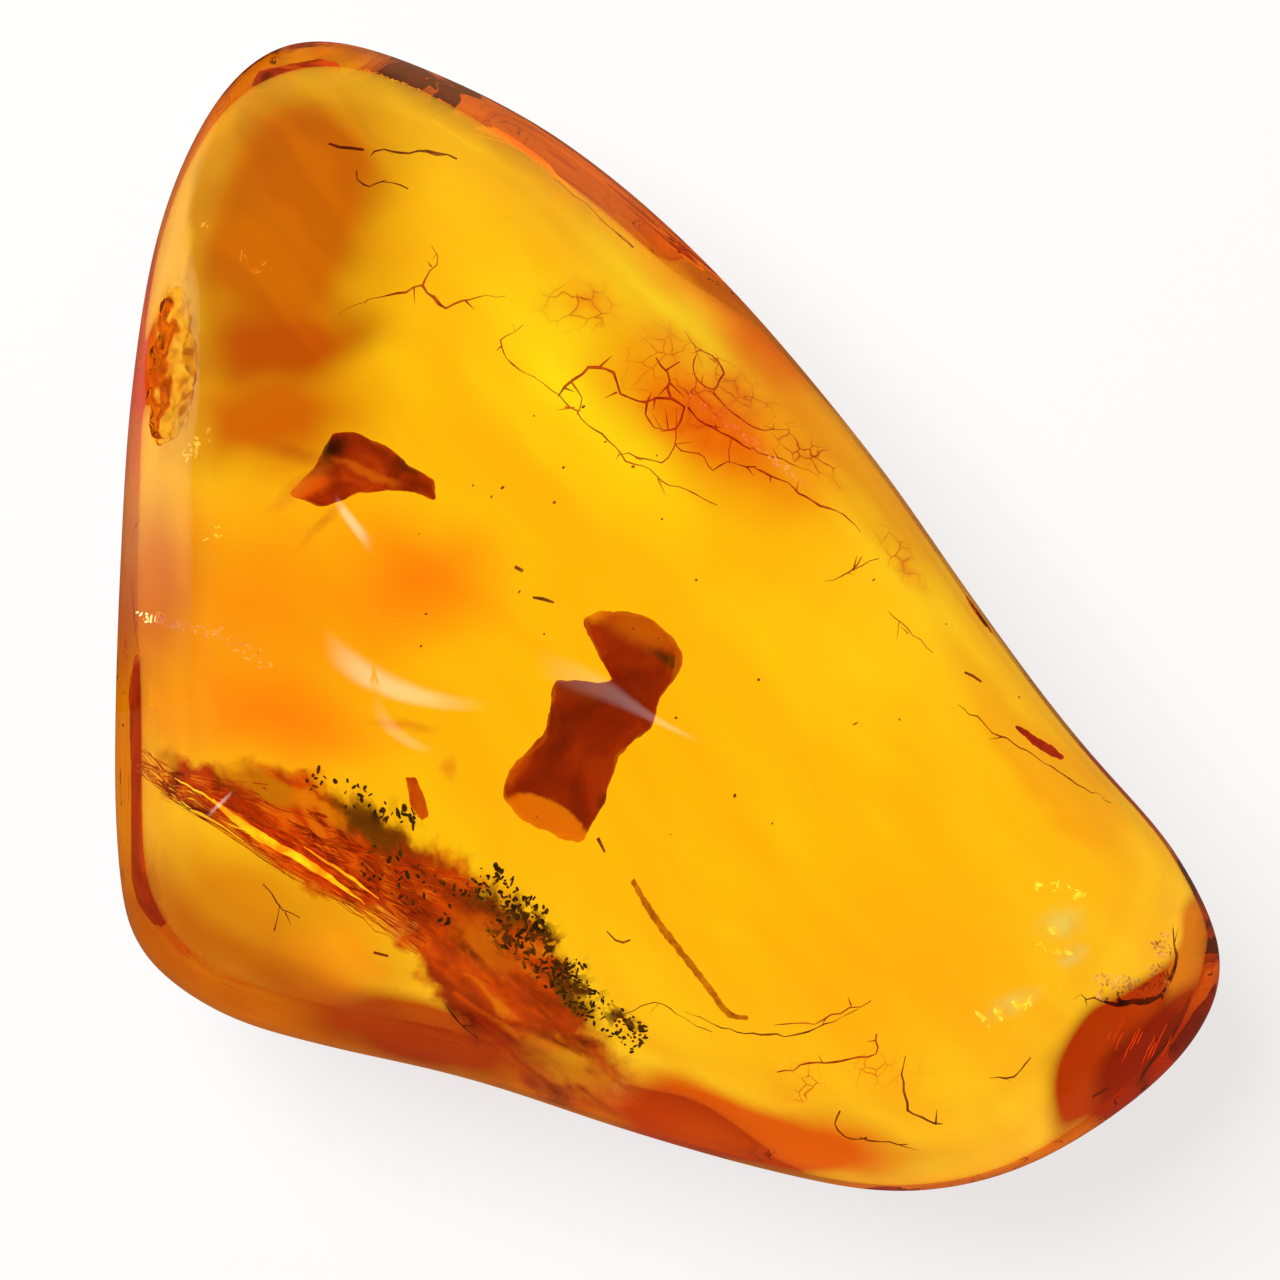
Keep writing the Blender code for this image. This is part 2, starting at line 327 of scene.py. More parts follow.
# Clouds of colour in the resin, each laid over those before it; the left strip and the rim clouds at the end
# are painted light and shade
AMBER_CLOUDS = [
    spot(9.3, -13.4, 9.0, 6.0, 0, 0.9, (1.0, 0.59, 0.64)),
    spot(-15.5, -0.2, 8.0, 8.5, 0, 0.9, (0.96, 0.36, 0.36)),
    spot(-9.3, 1.2, 4.4, 3.6, -20, 0.9, (1.0, 0.27, 0.49)),
    spot(-13.9, -4.0, 5.0, 2.4, -10, 0.9, (1.0, 0.29, 0.36)),
    spot(-20.1, 1.0, 3.2, 5.4, 0, 0.8, (0.55, 0.13, 0.25)),
    spot(-4.3, 15.4, 5.0, 3.0, -40, 0.9, (0.94, 0.55, 0.64)),
    spot(5.3, -2.2, 8.0, 2.8, -45, 0.9, (1.0, 0.86, 1.0)),
    spot(-3.7, 7.2, 9.0, 2.6, -48, 0.7, (1.0, 1.0, 1.0)),
    spot(6.5, 7.6, 14.0, 2.5, -50, 0.6, (0.74, 0.33, 0.3)),
    spot(14.4, -5.6, 7.0, 1.5, -50, 0.5, (0.9, 0.42, 0.5)),
    spot(1.4, 7.5, 8.2, 3.5, -38, 0.7, (0.74, 0.07, 0.06)),
    spot(-14.6, 15.2, 6.2, 8.6, -12, 0.6, (0.32, 0.04, 0.026), z=15, deep=11),
    spot(-15.1, 7.6, 6.2, 3.4, 0, 0.8, (0.41, 0.05, 0.06), z=16, deep=11),
    spot(-14.6, 10.3, 5.6, 2.2, 6, 0.7, (0.27, 0.018, 0.04), z=16, deep=11),
    # Painted light: a lighter, milky strip along the left side wall, where light comes in through the side
    spot(-20.9, 13.4, 2.4, 9.5, -11, 0.2, (1.0, 0.6, 0.7)),
    spot(-15.9, -12.4, 8.6, 4.6, -20, 0.6, (0.56, 0.19, 0.12)),
    spot(-12.6, -12.7, 2.6, 1.9, -20, 0.8, (0.95, 0.33, 0.25)),
    # Painted shade: these five darken the rims, where light runs long through the edge; the last, at the
    # upper rim, is partly its weathered colour and partly painted shade with a painted pinkish sheen
    spot(-9.9, -16.3, 8.2, 2.2, -14, 0.6, (0.26, 0.015, 0.005)),
    spot(2.8, -20.2, 9.6, 2.4, -10, 0.5, (0.58, 0.03, 0.004)),
    spot(18.3, -16.8, 5.6, 3.1, 40, 0.25, (0.2, 0.003, 0.001)),
    spot(20.9, -13.4, 1.6, 3.0, -15, 0.4, (0.45, 0.09, 0.04)),
    spot(-6.9, 19.8, 10.0, 2.0, -33, 0.5, (0.6, 0.36, 0.24)),
]
SMOKE_CLOUD, UPPER_RIM_WEAR_SHADE_AND_SHEEN = 11, -1  # their places in the list
# Layers in the resin that follow its rim, partly painted shade and painted highlight drawn as dark and light
# lines along the rim: height in millimetres and tint
RIM_LAYERS_AND_PAINTED_LINES = [
    (9.6, (1.0, 1.0, 1.0)),
    (11.0, (0.84, 0.72, 0.68)),
    (11.8, (1.0, 0.98, 0.95)),
    (13.0, (0.84, 0.74, 0.68)),
    (13.9, (1.0, 1.0, 1.0)),
    (14.5, (0.9, 0.84, 0.8)),
    (15.3, (1.0, 1.0, 1.0)),
]
PIT = {"centre": (-19.8, 9.8, 13.2), "size": (3.9, 6.6, 2.6), "lean": -52, "turn": -3, "lumps": 1.0}
NICKS = [
    {"centre": (-18.6, 19.7, 11.4), "size": (1.4, 1.9, 1.2), "lean": -50, "turn": -28, "lumps": 0.4},
    {"centre": (12.2, 0.1, 11.4), "size": (0.8, 1.9, 0.7), "lean": 60, "turn": 35, "lumps": 0.3},
]
RIM_HEIGHT = 8.4  # where the stone is widest
RESIN_TINT = (1.0, 0.68, 0.6)  # the resin between the clouds
ABSORPTION = {"Color": (0.991, 0.946, 0.12, 1.0), "Density": 330.0}
AMBER_IOR = 1.54
FLOW_TURN = -48  # how the flow lines lie, in degrees from x
FLOW_STRETCH = (8.0, 1.0, 8.0)


def patch_mask(tree, here, region):
    """How far a spot lies inside a region."""
    return use_group(
        tree,
        PATCH,
        Place=here,
        Centre=place(*region["centre"]),
        Reach=place(*region["reach"]),
        Turn=region["turn"],
        Softness=region["soft"],
    )


def amber_material():
    """Clear resin, cloudy in places, with smoke in its upper left and flow lines along its length, and
    painted shade, highlight lines and glow at its rim.
    """
    made, tree, shader, coordinates = new_material("clear amber")
    drifting = warped(tree, coordinates, 4.0, 2.6, detail=1.0)
    masks = [patch_mask(tree, drifting, cloud) for cloud in AMBER_CLOUDS]
    tint = RESIN_TINT
    for cloud, mask in zip(AMBER_CLOUDS, masks):
        tint = mix_colour(tree, mask, tint, cloud["colour"])

    flow = noise(tree, stretched(tree, drifting, FLOW_STRETCH, FLOW_TURN), 700.0, 0.0)
    wisps = math_node(tree, "MULTIPLY", masks[SMOKE_CLOUD], step_between(tree, flow, 0.45, 0.7))
    tint = mix_colour(tree, wisps, tint, (1.25, 1.5, 1.2), "MULTIPLY")
    tint = mix_colour(tree, step_between(tree, flow, 0.35, 0.62), tint, (1.0, 0.9, 0.84), "MULTIPLY")

    height = add_node(tree, "SeparateXYZ", Vector=coordinates).outputs["Z"]
    from_rim = math_node(tree, "ABSOLUTE", math_node(tree, "SUBTRACT", height, RIM_HEIGHT * MM))
    inner = step_between(tree, from_rim, 0.5 * MM, 4.5 * MM)
    # Painted shade: the resin turns redder near the rim height, where light runs long through the edge
    painted_rim_shade = mix_colour(tree, 1.0, tint, (0.94, 0.76, 0.56), "MULTIPLY")
    tint = mix_colour(tree, inner, painted_rim_shade, tint)
    # Rim layers: darker and lighter bands by height, partly flow layers and partly painted shade and
    # highlight lines
    wavering = add_node(tree, "SeparateXYZ", Vector=drifting).outputs["Z"]
    level = math_node(tree, "DIVIDE", math_node(tree, "ADD", wavering, height), 40.0 * MM)
    layers_and_painted_lines = ramp(tree, level, [(top / 20.0, colour) for top, colour in RIM_LAYERS_AND_PAINTED_LINES])
    tint = mix_colour(tree, 0.8, tint, layers_and_painted_lines, "MULTIPLY")

    x, y, z = PIT["centre"]
    worn = patch_mask(tree, coordinates, spot(x, y, 2.6, 4.2, 0, 0.5, z=z, deep=2.4))
    crumbs = noise(tree, coordinates, 1800.0, 1.0)
    crust = ramp(tree, crumbs, [(0.35, (0.35, 0.1, 0.02)), (0.5, (0.9, 0.5, 0.2)), (0.62, (1, 1, 0.9))])
    tint = mix_colour(tree, worn, tint, crust, "MULTIPLY")
    tree.links.new(tint, shader.inputs["Base Color"])
    tree.links.new(math_node(tree, "MULTIPLY", worn, 0.37), shader.inputs["Roughness"])

    # Painted glow: the resin near the rim height gives off a dim warm light of its own, stronger at the
    # upper rim
    near_rim = math_node(tree, "SUBTRACT", 1.0, step_between(tree, from_rim, 3.4 * MM, 5.6 * MM))
    painted_rim_glow = mix_colour(tree, masks[UPPER_RIM_WEAR_SHADE_AND_SHEEN], (0.045, 0.01, 0.001), (0.13, 0.045, 0.015))
    glow = mix_colour(tree, near_rim, (0.0, 0.0, 0.0), painted_rim_glow)
    tree.links.new(glow, shader.inputs["Emission Color"])
    shader.inputs["Emission Strength"].default_value = 1.0
    shader.inputs["Transmission Weight"].default_value = 1.0
    shader.inputs["IOR"].default_value = AMBER_IOR
    depth = add_node(tree, "VolumeAbsorption", **ABSORPTION)
    tree.links.new(depth.outputs[0], tree.nodes["Material Output"].inputs["Volume"])
    return made


def carve(stone, centre, size, lean, turn, lumps):
    """Breaks a rough hollow out of the stone."""
    deselect_all()
    bpy.ops.mesh.primitive_ico_sphere_add(subdivisions=5, radius=0.5)
    cutter = bpy.context.object
    bpy.ops.transform.resize(value=Vector(size) * MM)
    bpy.ops.object.transform_apply(location=False, rotation=False, scale=True)
    crumple(cutter, 1.1, lumps, "LOCAL", noise_depth=4)
    about_upright = Matrix.Rotation(math.radians(turn), 3, "Z")
    about_side = Matrix.Rotation(math.radians(lean), 3, "Y")
    cutter.rotation_euler = (about_upright @ about_side).to_euler()
    cutter.location = place(*centre)
    select_only(cutter)
    bpy.ops.object.transform_apply(location=True, rotation=True, scale=True)
    modify(stone, "BOOLEAN", object=cutter, operation="DIFFERENCE", solver="EXACT")
    remove(cutter)


def clear_stone():
    """One smooth stone over both halves, with a pit and two nicks in its skin."""
    halves = copy_of_nodes("halves", "amber_lower", "amber_upper")
    deselect_all()
    bpy.ops.mesh.primitive_ico_sphere_add(subdivisions=7, radius=0.5, location=MIDDLE)
    stone = bpy.context.object
    stone.name = stone.data.name = "amber"
    bpy.ops.transform.resize(value=(HIGH - LOW) * 1.3)
    bpy.ops.object.transform_apply(location=True, rotation=True, scale=True)
    for smoothing in (30, 40):
        modify(stone, "SHRINKWRAP", target=halves, wrap_method="NEAREST_SURFACEPOINT")
        modify(stone, "SMOOTH", factor=0.5, iterations=smoothing)
    for hollow in (PIT, *NICKS):
        carve(stone, **hollow)
    select_only(stone)
    bpy.ops.object.shade_smooth_by_angle(angle=math.radians(40))
    remove(halves)
    stone.visible_diffuse = False
    finish(stone, amber_material(), ("amber_lower", "amber_upper"))


# Ways of making what is sealed in it


def veil(name, centre, size, turn, cells, sag=0.5, lean=(0, 0)):
    """A thin uneven sheet in the amber, in millimetres.

    Its turn about the upright and its lean about x and y are in degrees.
    """
    deselect_all()
    bpy.ops.mesh.primitive_grid_add(x_subdivisions=cells[0], y_subdivisions=cells[1], size=1.0)
    sheet = bpy.context.object
    sheet.name = sheet.data.name = name
    bpy.ops.transform.resize(value=(size[0] * MM, size[1] * MM, 1.0))
    sheet.rotation_euler = (math.radians(lean[0]), math.radians(lean[1]), math.radians(turn))
    sheet.location = place(*centre)
    bpy.ops.object.transform_apply(location=True, rotation=True, scale=True)
    crumple(sheet, 5.0, sag, direction="Z")
    bpy.ops.object.shade_smooth()
    return sheet


DOME_SHARE_X, DOME_SHARE_Y = 0.96, 0.94  # how far out things lie, as a share of where the dome shows them


def beneath(places, slide_x=0.0, slide_y=0.0):
    """Moves (x, y, z, thickness) places from where they are seen to where they lie under the dome."""
    return [
        (DOME_SHARE_X * x + slide_x, DOME_SHARE_Y * y + slide_y, z, thickness)
        for x, y, z, thickness in places
    ]


def cracked(places, seed, jag=0.1, twigs=2):
    """A broken line through (x, y, z, thickness) places in millimetres, with short side cracks."""
    chance = random.Random(seed)
    line = []
    for (x, y, z, thickness), (far_x, far_y, far_z, far_thickness) in zip(places, places[1:]):
        length = math.hypot(far_x - x, far_y - y)
        steps = max(2, round(length / 0.3))
        for step in range(steps):
            share = step / steps
            off = chance.uniform(-jag, jag) * min(1.0, length) / length
            line.append(
                (
                    x + (far_x - x) * share - (far_y - y) * off,
                    y + (far_y - y) * share + (far_x - x) * off,
                    z + (far_z - z) * share,
                    (thickness + (far_thickness - thickness) * share) * chance.uniform(0.4, 1.4),
                )
            )
    line.append(places[-1])
    runs = [line]
    for _ in range(twigs if len(line) > 6 else 0):
        x, y, z, thickness = chance.choice(line)
        heading = chance.uniform(0, math.tau)
        reach = chance.uniform(0.25, 0.8)
        halfway = heading + chance.uniform(-0.6, 0.6)
        bend = (x + 0.5 * reach * math.cos(halfway), y + 0.5 * reach * math.sin(halfway), z, thickness * 0.6)
        tip = (x + reach * math.cos(heading), y + reach * math.sin(heading), z, 0.01)
        runs.append([(x, y, z, thickness), bend, tip])
    return runs


def trim(sheet, regions, margin=0.9):
    """Cuts away what lies outside the regions and a margin in millimetres round them."""
    bpy.ops.object.mode_set(mode="EDIT")
    bpy.ops.mesh.select_mode(type="FACE")
    bpy.ops.mesh.select_all(action="DESELECT")
    bpy.ops.object.mode_set(mode="OBJECT")
    for face in sheet.data.polygons:
        face.select = True
        for region in regions:
            off = (face.center / MM - Vector(region["centre"])).to_2d()
            off.rotate(Matrix.Rotation(math.radians(-region["turn"]), 2))
            long, wide, _ = region["reach"]
            if math.hypot(off.x / (long + margin), off.y / (wide + margin)) < 1:
                face.select = False
                break
    bpy.ops.object.mode_set(mode="EDIT")
    bpy.ops.mesh.delete(type="FACE")
    bpy.ops.object.mode_set(mode="OBJECT")


def strands(name, runs, wander=0.0, sides=1, order=3):
    """Fine strands, each through (x, y, z, thickness) places in millimetres; order 2 leaves them jagged."""
    deselect_all()
    bpy.ops.curve.primitive_nurbs_path_add()
    made = bpy.context.object
    made.name = made.data.name = name
    curve = made.data
    curve.splines.clear()
    curve.bevel_depth = 0.5 * MM
    curve.bevel_resolution = sides
    curve.use_fill_caps = True
    for run in runs:
        spline = curve.splines.new("NURBS")
        spline.points.add(len(run) - 1)
        for point, (x, y, z, thickness) in zip(spline.points, run):
            point.co = (*place(x, y, z), 1.0)
            point.radius = thickness
        spline.order_u = min(order, len(run))
        spline.use_endpoint_u = True
        spline.resolution_u = 6 if order > 2 else 1
    bpy.ops.object.convert(target="MESH")
    if wander:
        crumple(made, 0.5, wander, direction="RGB_TO_XYZ", cloud_type="COLOR", noise_depth=3)
    bpy.ops.object.shade_smooth()
    return made


def grain(name, size, lumps):
    """A single crumb to scatter, about a millimetre across before it is scaled."""
    deselect_all()
    bpy.ops.mesh.primitive_uv_sphere_add(segments=8, ring_count=5, radius=0.5)
    made = bpy.context.object
    made.name = name
    bpy.ops.transform.resize(value=Vector(size) * MM)
    bpy.ops.object.transform_apply(location=True, rotation=True, scale=True)
    crumple(made, 0.45, lumps, "LOCAL")
    return made


def scatter(name, host, crumb, count, smallest, largest, seed, clump=0.0):
    """Crumbs strewn over a host sheet, joined into one mesh; sizes are shares of the crumb's own.

    A clump size in millimetres gathers them and leaves bare spots between.
    """
    tree = bpy.data.node_groups.new(name, "GeometryNodeTree")
    tree.interface.new_socket("Geometry", in_out="INPUT", socket_type="NodeSocketGeometry")
    tree.interface.new_socket("Geometry", in_out="OUTPUT", socket_type="NodeSocketGeometry")
    inputs, outputs = tree.nodes.new("NodeGroupInput"), tree.nodes.new("NodeGroupOutput")
    points = tree.nodes.new("GeometryNodeDistributePointsOnFaces")
    density = count / sum(face.area for face in host.data.polygons)
    points.inputs["Density"].default_value = density
    points.inputs["Seed"].default_value = seed
    if clump:
        clumps = add_node(tree, "TexNoise", Scale=1 / (clump * MM))
        inside = step_between(tree, clumps.outputs[0], 0.42, 0.56)
        gathered = math_node(tree, "MULTIPLY", inside, 2 * density)
        tree.links.new(gathered, points.inputs["Density"])
    turns = tree.nodes.new("FunctionNodeRandomValue")
    turns.data_type = "FLOAT_VECTOR"
    turns.inputs["Max"].default_value = (math.tau,) * 3
    sizes = tree.nodes.new("FunctionNodeRandomValue")
    sizes.data_type = "FLOAT_VECTOR"
    sizes.inputs["Min"].default_value = (smallest,) * 3
    sizes.inputs["Max"].default_value = (largest,) * 3
    sizes.inputs["Seed"].default_value = seed + 1
    source = tree.nodes.new("GeometryNodeObjectInfo")
    source.inputs["Object"].default_value = crumb
    strewn = tree.nodes.new("GeometryNodeInstanceOnPoints")
    real = tree.nodes.new("GeometryNodeRealizeInstances")
    tree.links.new(inputs.outputs[0], points.inputs["Mesh"])
    tree.links.new(points.outputs["Points"], strewn.inputs["Points"])
    tree.links.new(source.outputs["Geometry"], strewn.inputs["Instance"])
    tree.links.new(turns.outputs["Value"], strewn.inputs["Rotation"])
    tree.links.new(sizes.outputs["Value"], strewn.inputs["Scale"])
    tree.links.new(strewn.outputs[0], real.inputs[0])
    tree.links.new(real.outputs[0], outputs.inputs[0])
    host.name = host.data.name = name
    modify(host, "NODES", node_group=tree)
    bpy.ops.object.shade_smooth()
    return host


def join(name, *things):
    select_only(*things)
    bpy.ops.object.join()
    made = bpy.context.object
    made.name = made.data.name = name
    return made


def crumbs_on(name, crumb, beds, shares, seed, sag, clump=0.0):
    """Crumbs on several beds, joined; a bed is its centre, size, turn, cells and how many crumbs."""
    strewn = []
    for k, (centre, size, turn, cells, count) in enumerate(beds):
        bed = veil(f"{name} bed {k}", centre, size, turn, cells, sag)
        strewn.append(scatter(f"{name} {k}", bed, crumb, count, *shares, seed + k, clump))
    made = join(name, *strewn)
    remove(crumb)
    return made


def chip(name, node, voxel, lumps, material, share=1.0, shift=(0, 0)):
    """A fragment with a broken, uneven surface, from its CAD node.

    The share that it is drawn at and its shift in millimetres allow for the lens of the dome.
    """
    made = copy_of_nodes(name, node)
    low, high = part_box(node)
    bpy.ops.object.mode_set(mode="EDIT")
    bpy.ops.mesh.select_all(action="SELECT")
    bpy.ops.transform.resize(value=(share, share, 1.0), center_override=(Vector(low) + Vector(high)) / 2)
    bpy.ops.transform.translate(value=place(*shift, 0))
    bpy.ops.object.mode_set(mode="OBJECT")
    modify(made, "REMESH", mode="VOXEL", voxel_size=voxel * MM)
    modify(made, "SMOOTH", factor=0.5, iterations=4)
    crumple(made, lumps, 0.35 * lumps, noise_depth=3)
    select_only(made)
    bpy.ops.object.shade_smooth()
    finish(made, material, (node,))


# Finishes of what is sealed in it. Light comes up through the amber, so each one is given a little painted
# glow.


def with_painted_glow(tree, shader, colour, glow=0.3):
    """Gives a finish its colour, and a painted glow of that colour for the share that shines through."""
    tree.links.new(colour, shader.inputs["Base Color"])
    tree.links.new(colour, shader.inputs["Emission Color"])
    shader.inputs["Emission Strength"].default_value = glow


def plant_material(name, colours, size, glow, roughness=0.5, patches=()):
    """Mottled plant tissue: colours from dark to light, and patches of another colour."""
    made, tree, shader, coordinates = new_material(name)
    shade = shades(tree, noise(tree, coordinates, 1 / (size * MM), 6.0, 0.6), colours)
    ragged = warped(tree, coordinates, 0.6, 0.4)
    for patch in patches:
        shade = mix_colour(tree, patch_mask(tree, ragged, patch), shade, patch["colour"])
    with_painted_glow(tree, shader, shade, glow)
    shader.inputs["Roughness"].default_value = roughness
    return made


def any_mask(tree, here, regions):
    """How far a spot lies inside any of the regions."""
    found = None
    for region in regions:
        mask = patch_mask(tree, here, region)
        found = mask if found is None else math_node(tree, "MAXIMUM", found, mask)
    return found


def crack_net_material(name, cell, regions, line, halo, halo_share):
    """A net of fine polygonal cracks with a warm halo, only inside the regions."""
    made, tree, shader, coordinates = new_material(name)
    bent = warped(tree, coordinates, 1.6, 1.1)
    cells = add_node(tree, "TexVoronoi", feature="DISTANCE_TO_EDGE", Vector=bent, Scale=1 / (cell * MM))
    gaps = noise(tree, coordinates, 420.0, 3.0)
    breaks = step_between(tree, gaps, 0.42, 0.55)
    width = math_node(tree, "MULTIPLY_ADD", gaps, 0.09, 0.006)
    near = math_node(tree, "DIVIDE", cells.outputs["Distance"], width)
    lines = math_node(tree, "MULTIPLY", math_node(tree, "SUBTRACT", 1.0, near, clamp=True), breaks)
    beside = math_node(tree, "SUBTRACT", 1.0, step_between(tree, cells.outputs["Distance"], 0.0, 0.4))
    cloudy = step_between(tree, noise(tree, coordinates, 260.0, 4.0), 0.32, 0.62)
    halos = math_node(tree, "MULTIPLY", math_node(tree, "MULTIPLY_ADD", beside, 0.5, 0.5), cloudy)
    solid = math_node(tree, "MAXIMUM", lines, math_node(tree, "MULTIPLY", halos, halo_share))
    alpha = math_node(tree, "MULTIPLY", solid, any_mask(tree, bent, regions))
    tree.links.new(alpha, shader.inputs["Alpha"])
    with_painted_glow(tree, shader, mix_colour(tree, lines, halo, line))
    return made


def worm_material(name, regions, size, width, colour):
    """Short curling dark threads, only inside the regions."""
    made, tree, shader, coordinates = new_material(name)
    per_metre = 1 / (size * MM)
    curl = noise(tree, coordinates, per_metre, 2.0, 0.7)
    off_line = math_node(tree, "ABSOLUTE", math_node(tree, "SUBTRACT", curl, 0.5))
    alpha = math_node(tree, "SUBTRACT", 1.0, step_between(tree, off_line, width * 0.5, width))
    broken = step_between(tree, noise(tree, coordinates, 0.8 * per_metre, 2.0), 0.42, 0.48)
    gathered = step_between(tree, noise(tree, coordinates, 0.2 * per_metre, 2.0), 0.38, 0.5)
    inside = any_mask(tree, warped(tree, coordinates, 1.0, 1.0), regions)
    for share in (broken, gathered, inside):
        alpha = math_node(tree, "MULTIPLY", alpha, share)
    tree.links.new(alpha, shader.inputs["Alpha"])
    tones = noise(tree, coordinates, 600.0, 3.0)
    with_painted_glow(tree, shader, ramp(tree, tones, [(0.35, colour), (0.7, (0.25, 0.08, 0.006))]), 0.1)
    return made


def film_material(
    name, regions, colours, size, stretch, turn, patches=(), most=0.9, cover=(0.2, 0.45), ragged=1.4
):
    """A streaky film: colours from dark to light, patches of other colours, only inside the regions."""
    made, tree, shader, coordinates = new_material(name)
    along = stretched(tree, coordinates, (stretch, 1.0, 1.0), turn)
    mottle = noise(tree, along, 1 / (size * MM), 6.0, 0.5)
    shade = shades(tree, mottle, colours)
    torn = warped(tree, coordinates, 0.9, ragged, detail=4.0)
    streaks = step_between(tree, mottle, 0.3, 0.55)
    for patch in patches:
        streaky = math_node(tree, "MULTIPLY", patch_mask(tree, torn, patch), streaks)
        shade = mix_colour(tree, streaky, shade, patch["colour"])
    holes = noise(tree, along, 0.6 / (size * MM), 4.0)
    covered = math_node(tree, "MULTIPLY", step_between(tree, holes, *cover), most)
    alpha = math_node(tree, "MULTIPLY", covered, any_mask(tree, torn, regions))
    tree.links.new(alpha, shader.inputs["Alpha"])
    with_painted_glow(tree, shader, shade)
    return made


# The studio


def floor():
    """A pale ground that glows evenly, and more where it is seen through the stone."""
    deselect_all()
    bpy.ops.mesh.primitive_plane_add(size=1.6, location=(0, 0, -0.02 * MM))
    ground = bpy.context.object
    ground.name = "floor"
    made, tree, shader, _ = new_material("pale floor")
    shader.inputs["Roughness"].default_value = 0.9
    shader.inputs["Specular IOR Level"].default_value = 0.0
    path = add_node(tree, "LightPath")
    by_glass = math_node(tree, "MAXIMUM", path.outputs["Is Transmission Ray"], path.outputs["Is Glossy Ray"])
    paint = mix_colour(tree, by_glass, (0.3, 0.3, 0.3), (0.0, 0.0, 0.0))
    tree.links.new(paint, shader.inputs["Base Color"])
    glow = mix_colour(tree, path.outputs["Is Glossy Ray"], (1.0, 0.975, 0.97), (0.09, 0.085, 0.075))
    through = mix_colour(tree, path.outputs["Is Transmission Ray"], glow, (1.9, 1.86, 1.83))
    tree.links.new(through, shader.inputs["Emission Color"])
    shader.inputs["Emission Strength"].default_value = 0.6
    ground.data.materials.append(made)


def sky():
    """Bright walls for the light that comes through the stone, and a dim room for what it mirrors."""
    world = bpy.data.worlds.new("studio")
    bpy.context.scene.world = world
    world.use_nodes = True
    world.cycles.sampling_method = "NONE"
    tree = world.node_tree
    direction = add_node(tree, "TexCoord").outputs["Generated"]
    height = add_node(tree, "SeparateXYZ", Vector=direction).outputs["Z"]
    brightness = [(0.0, (1.0, 0.97, 0.93)), (0.5, (0.75, 0.72, 0.7)), (0.95, (0.5, 0.48, 0.46))]
    walls = ramp(tree, height, brightness)
    path = add_node(tree, "LightPath")
    mirrored = mix_colour(tree, path.outputs["Is Glossy Ray"], walls, (0.022, 0.02, 0.018))
    through = mix_colour(tree, path.outputs["Is Transmission Ray"], mirrored, walls)
    seen = mix_colour(tree, path.outputs["Is Camera Ray"], through, (0.96, 0.95, 0.95))
    tree.links.new(seen, tree.nodes["Background"].inputs["Color"])


def light_card(name, centre, size, turns, strength, inner=0.1):
    """A soft-edged panel that only the polished surface mirrors; places and sizes are in millimetres."""
    deselect_all()
    bpy.ops.mesh.primitive_plane_add(size=1.0)
    card = bpy.context.object
    card.name = name
    bpy.ops.transform.resize(value=(size[0] * MM, size[1] * MM, 1.0))
    card.rotation_euler = [math.radians(turn) for turn in turns]
    card.location = place(*centre)
    bpy.ops.object.transform_apply(location=True, rotation=True, scale=True)
    made, tree, shader, _ = new_material(name)
    parts = add_node(tree, "SeparateXYZ", Vector=add_node(tree, "UVMap").outputs[0])
    fade = None
    for axis in ("X", "Y"):
        off = math_node(tree, "ABSOLUTE", math_node(tree, "SUBTRACT", parts.outputs[axis], 0.5))
        edge = math_node(tree, "SUBTRACT", 1.0, step_between(tree, off, inner, 0.5))
        fade = edge if fade is None else math_node(tree, "MULTIPLY", fade, edge)
    shader.inputs["Base Color"].default_value = (0, 0, 0, 1)
    glow = mix_colour(tree, fade, (0.0, 0.0, 0.0), (1.0, 0.93, 0.88))
    tree.links.new(glow, shader.inputs["Emission Color"])
    shader.inputs["Emission Strength"].default_value = strength
    card.data.materials.append(made)
    card.visible_camera = card.visible_diffuse = card.visible_transmission = card.visible_shadow = False


def area_light(name, location, size, energy):
    lamp = bpy.data.lights.new(name, "AREA")
    lamp.shape = "RECTANGLE"
    lamp.size, lamp.size_y = size
    lamp.energy = energy
    made = bpy.data.objects.new(name, lamp)
    made.location = location
    made.rotation_euler = (MIDDLE - Vector(location)).to_track_quat("-Z", "Y").to_euler()
    made.visible_glossy = False
    made.visible_transmission = False
    bpy.context.scene.collection.objects.link(made)


def camera():
    lens = bpy.data.cameras.new("camera")
    lens.lens = LENS
    lens.sensor_width = SENSOR
    lens.clip_start = 0.01
    made = bpy.data.objects.new("camera", lens)
    rim = 8.0 * MM  # the height at which the outline is measured
    made.location = VIEW_CENTRE + Vector((0, 0, FULL_FRAME * LENS / SENSOR + rim))
    bpy.context.scene.collection.objects.link(made)
    bpy.context.scene.camera = made


# The pieces, one after another


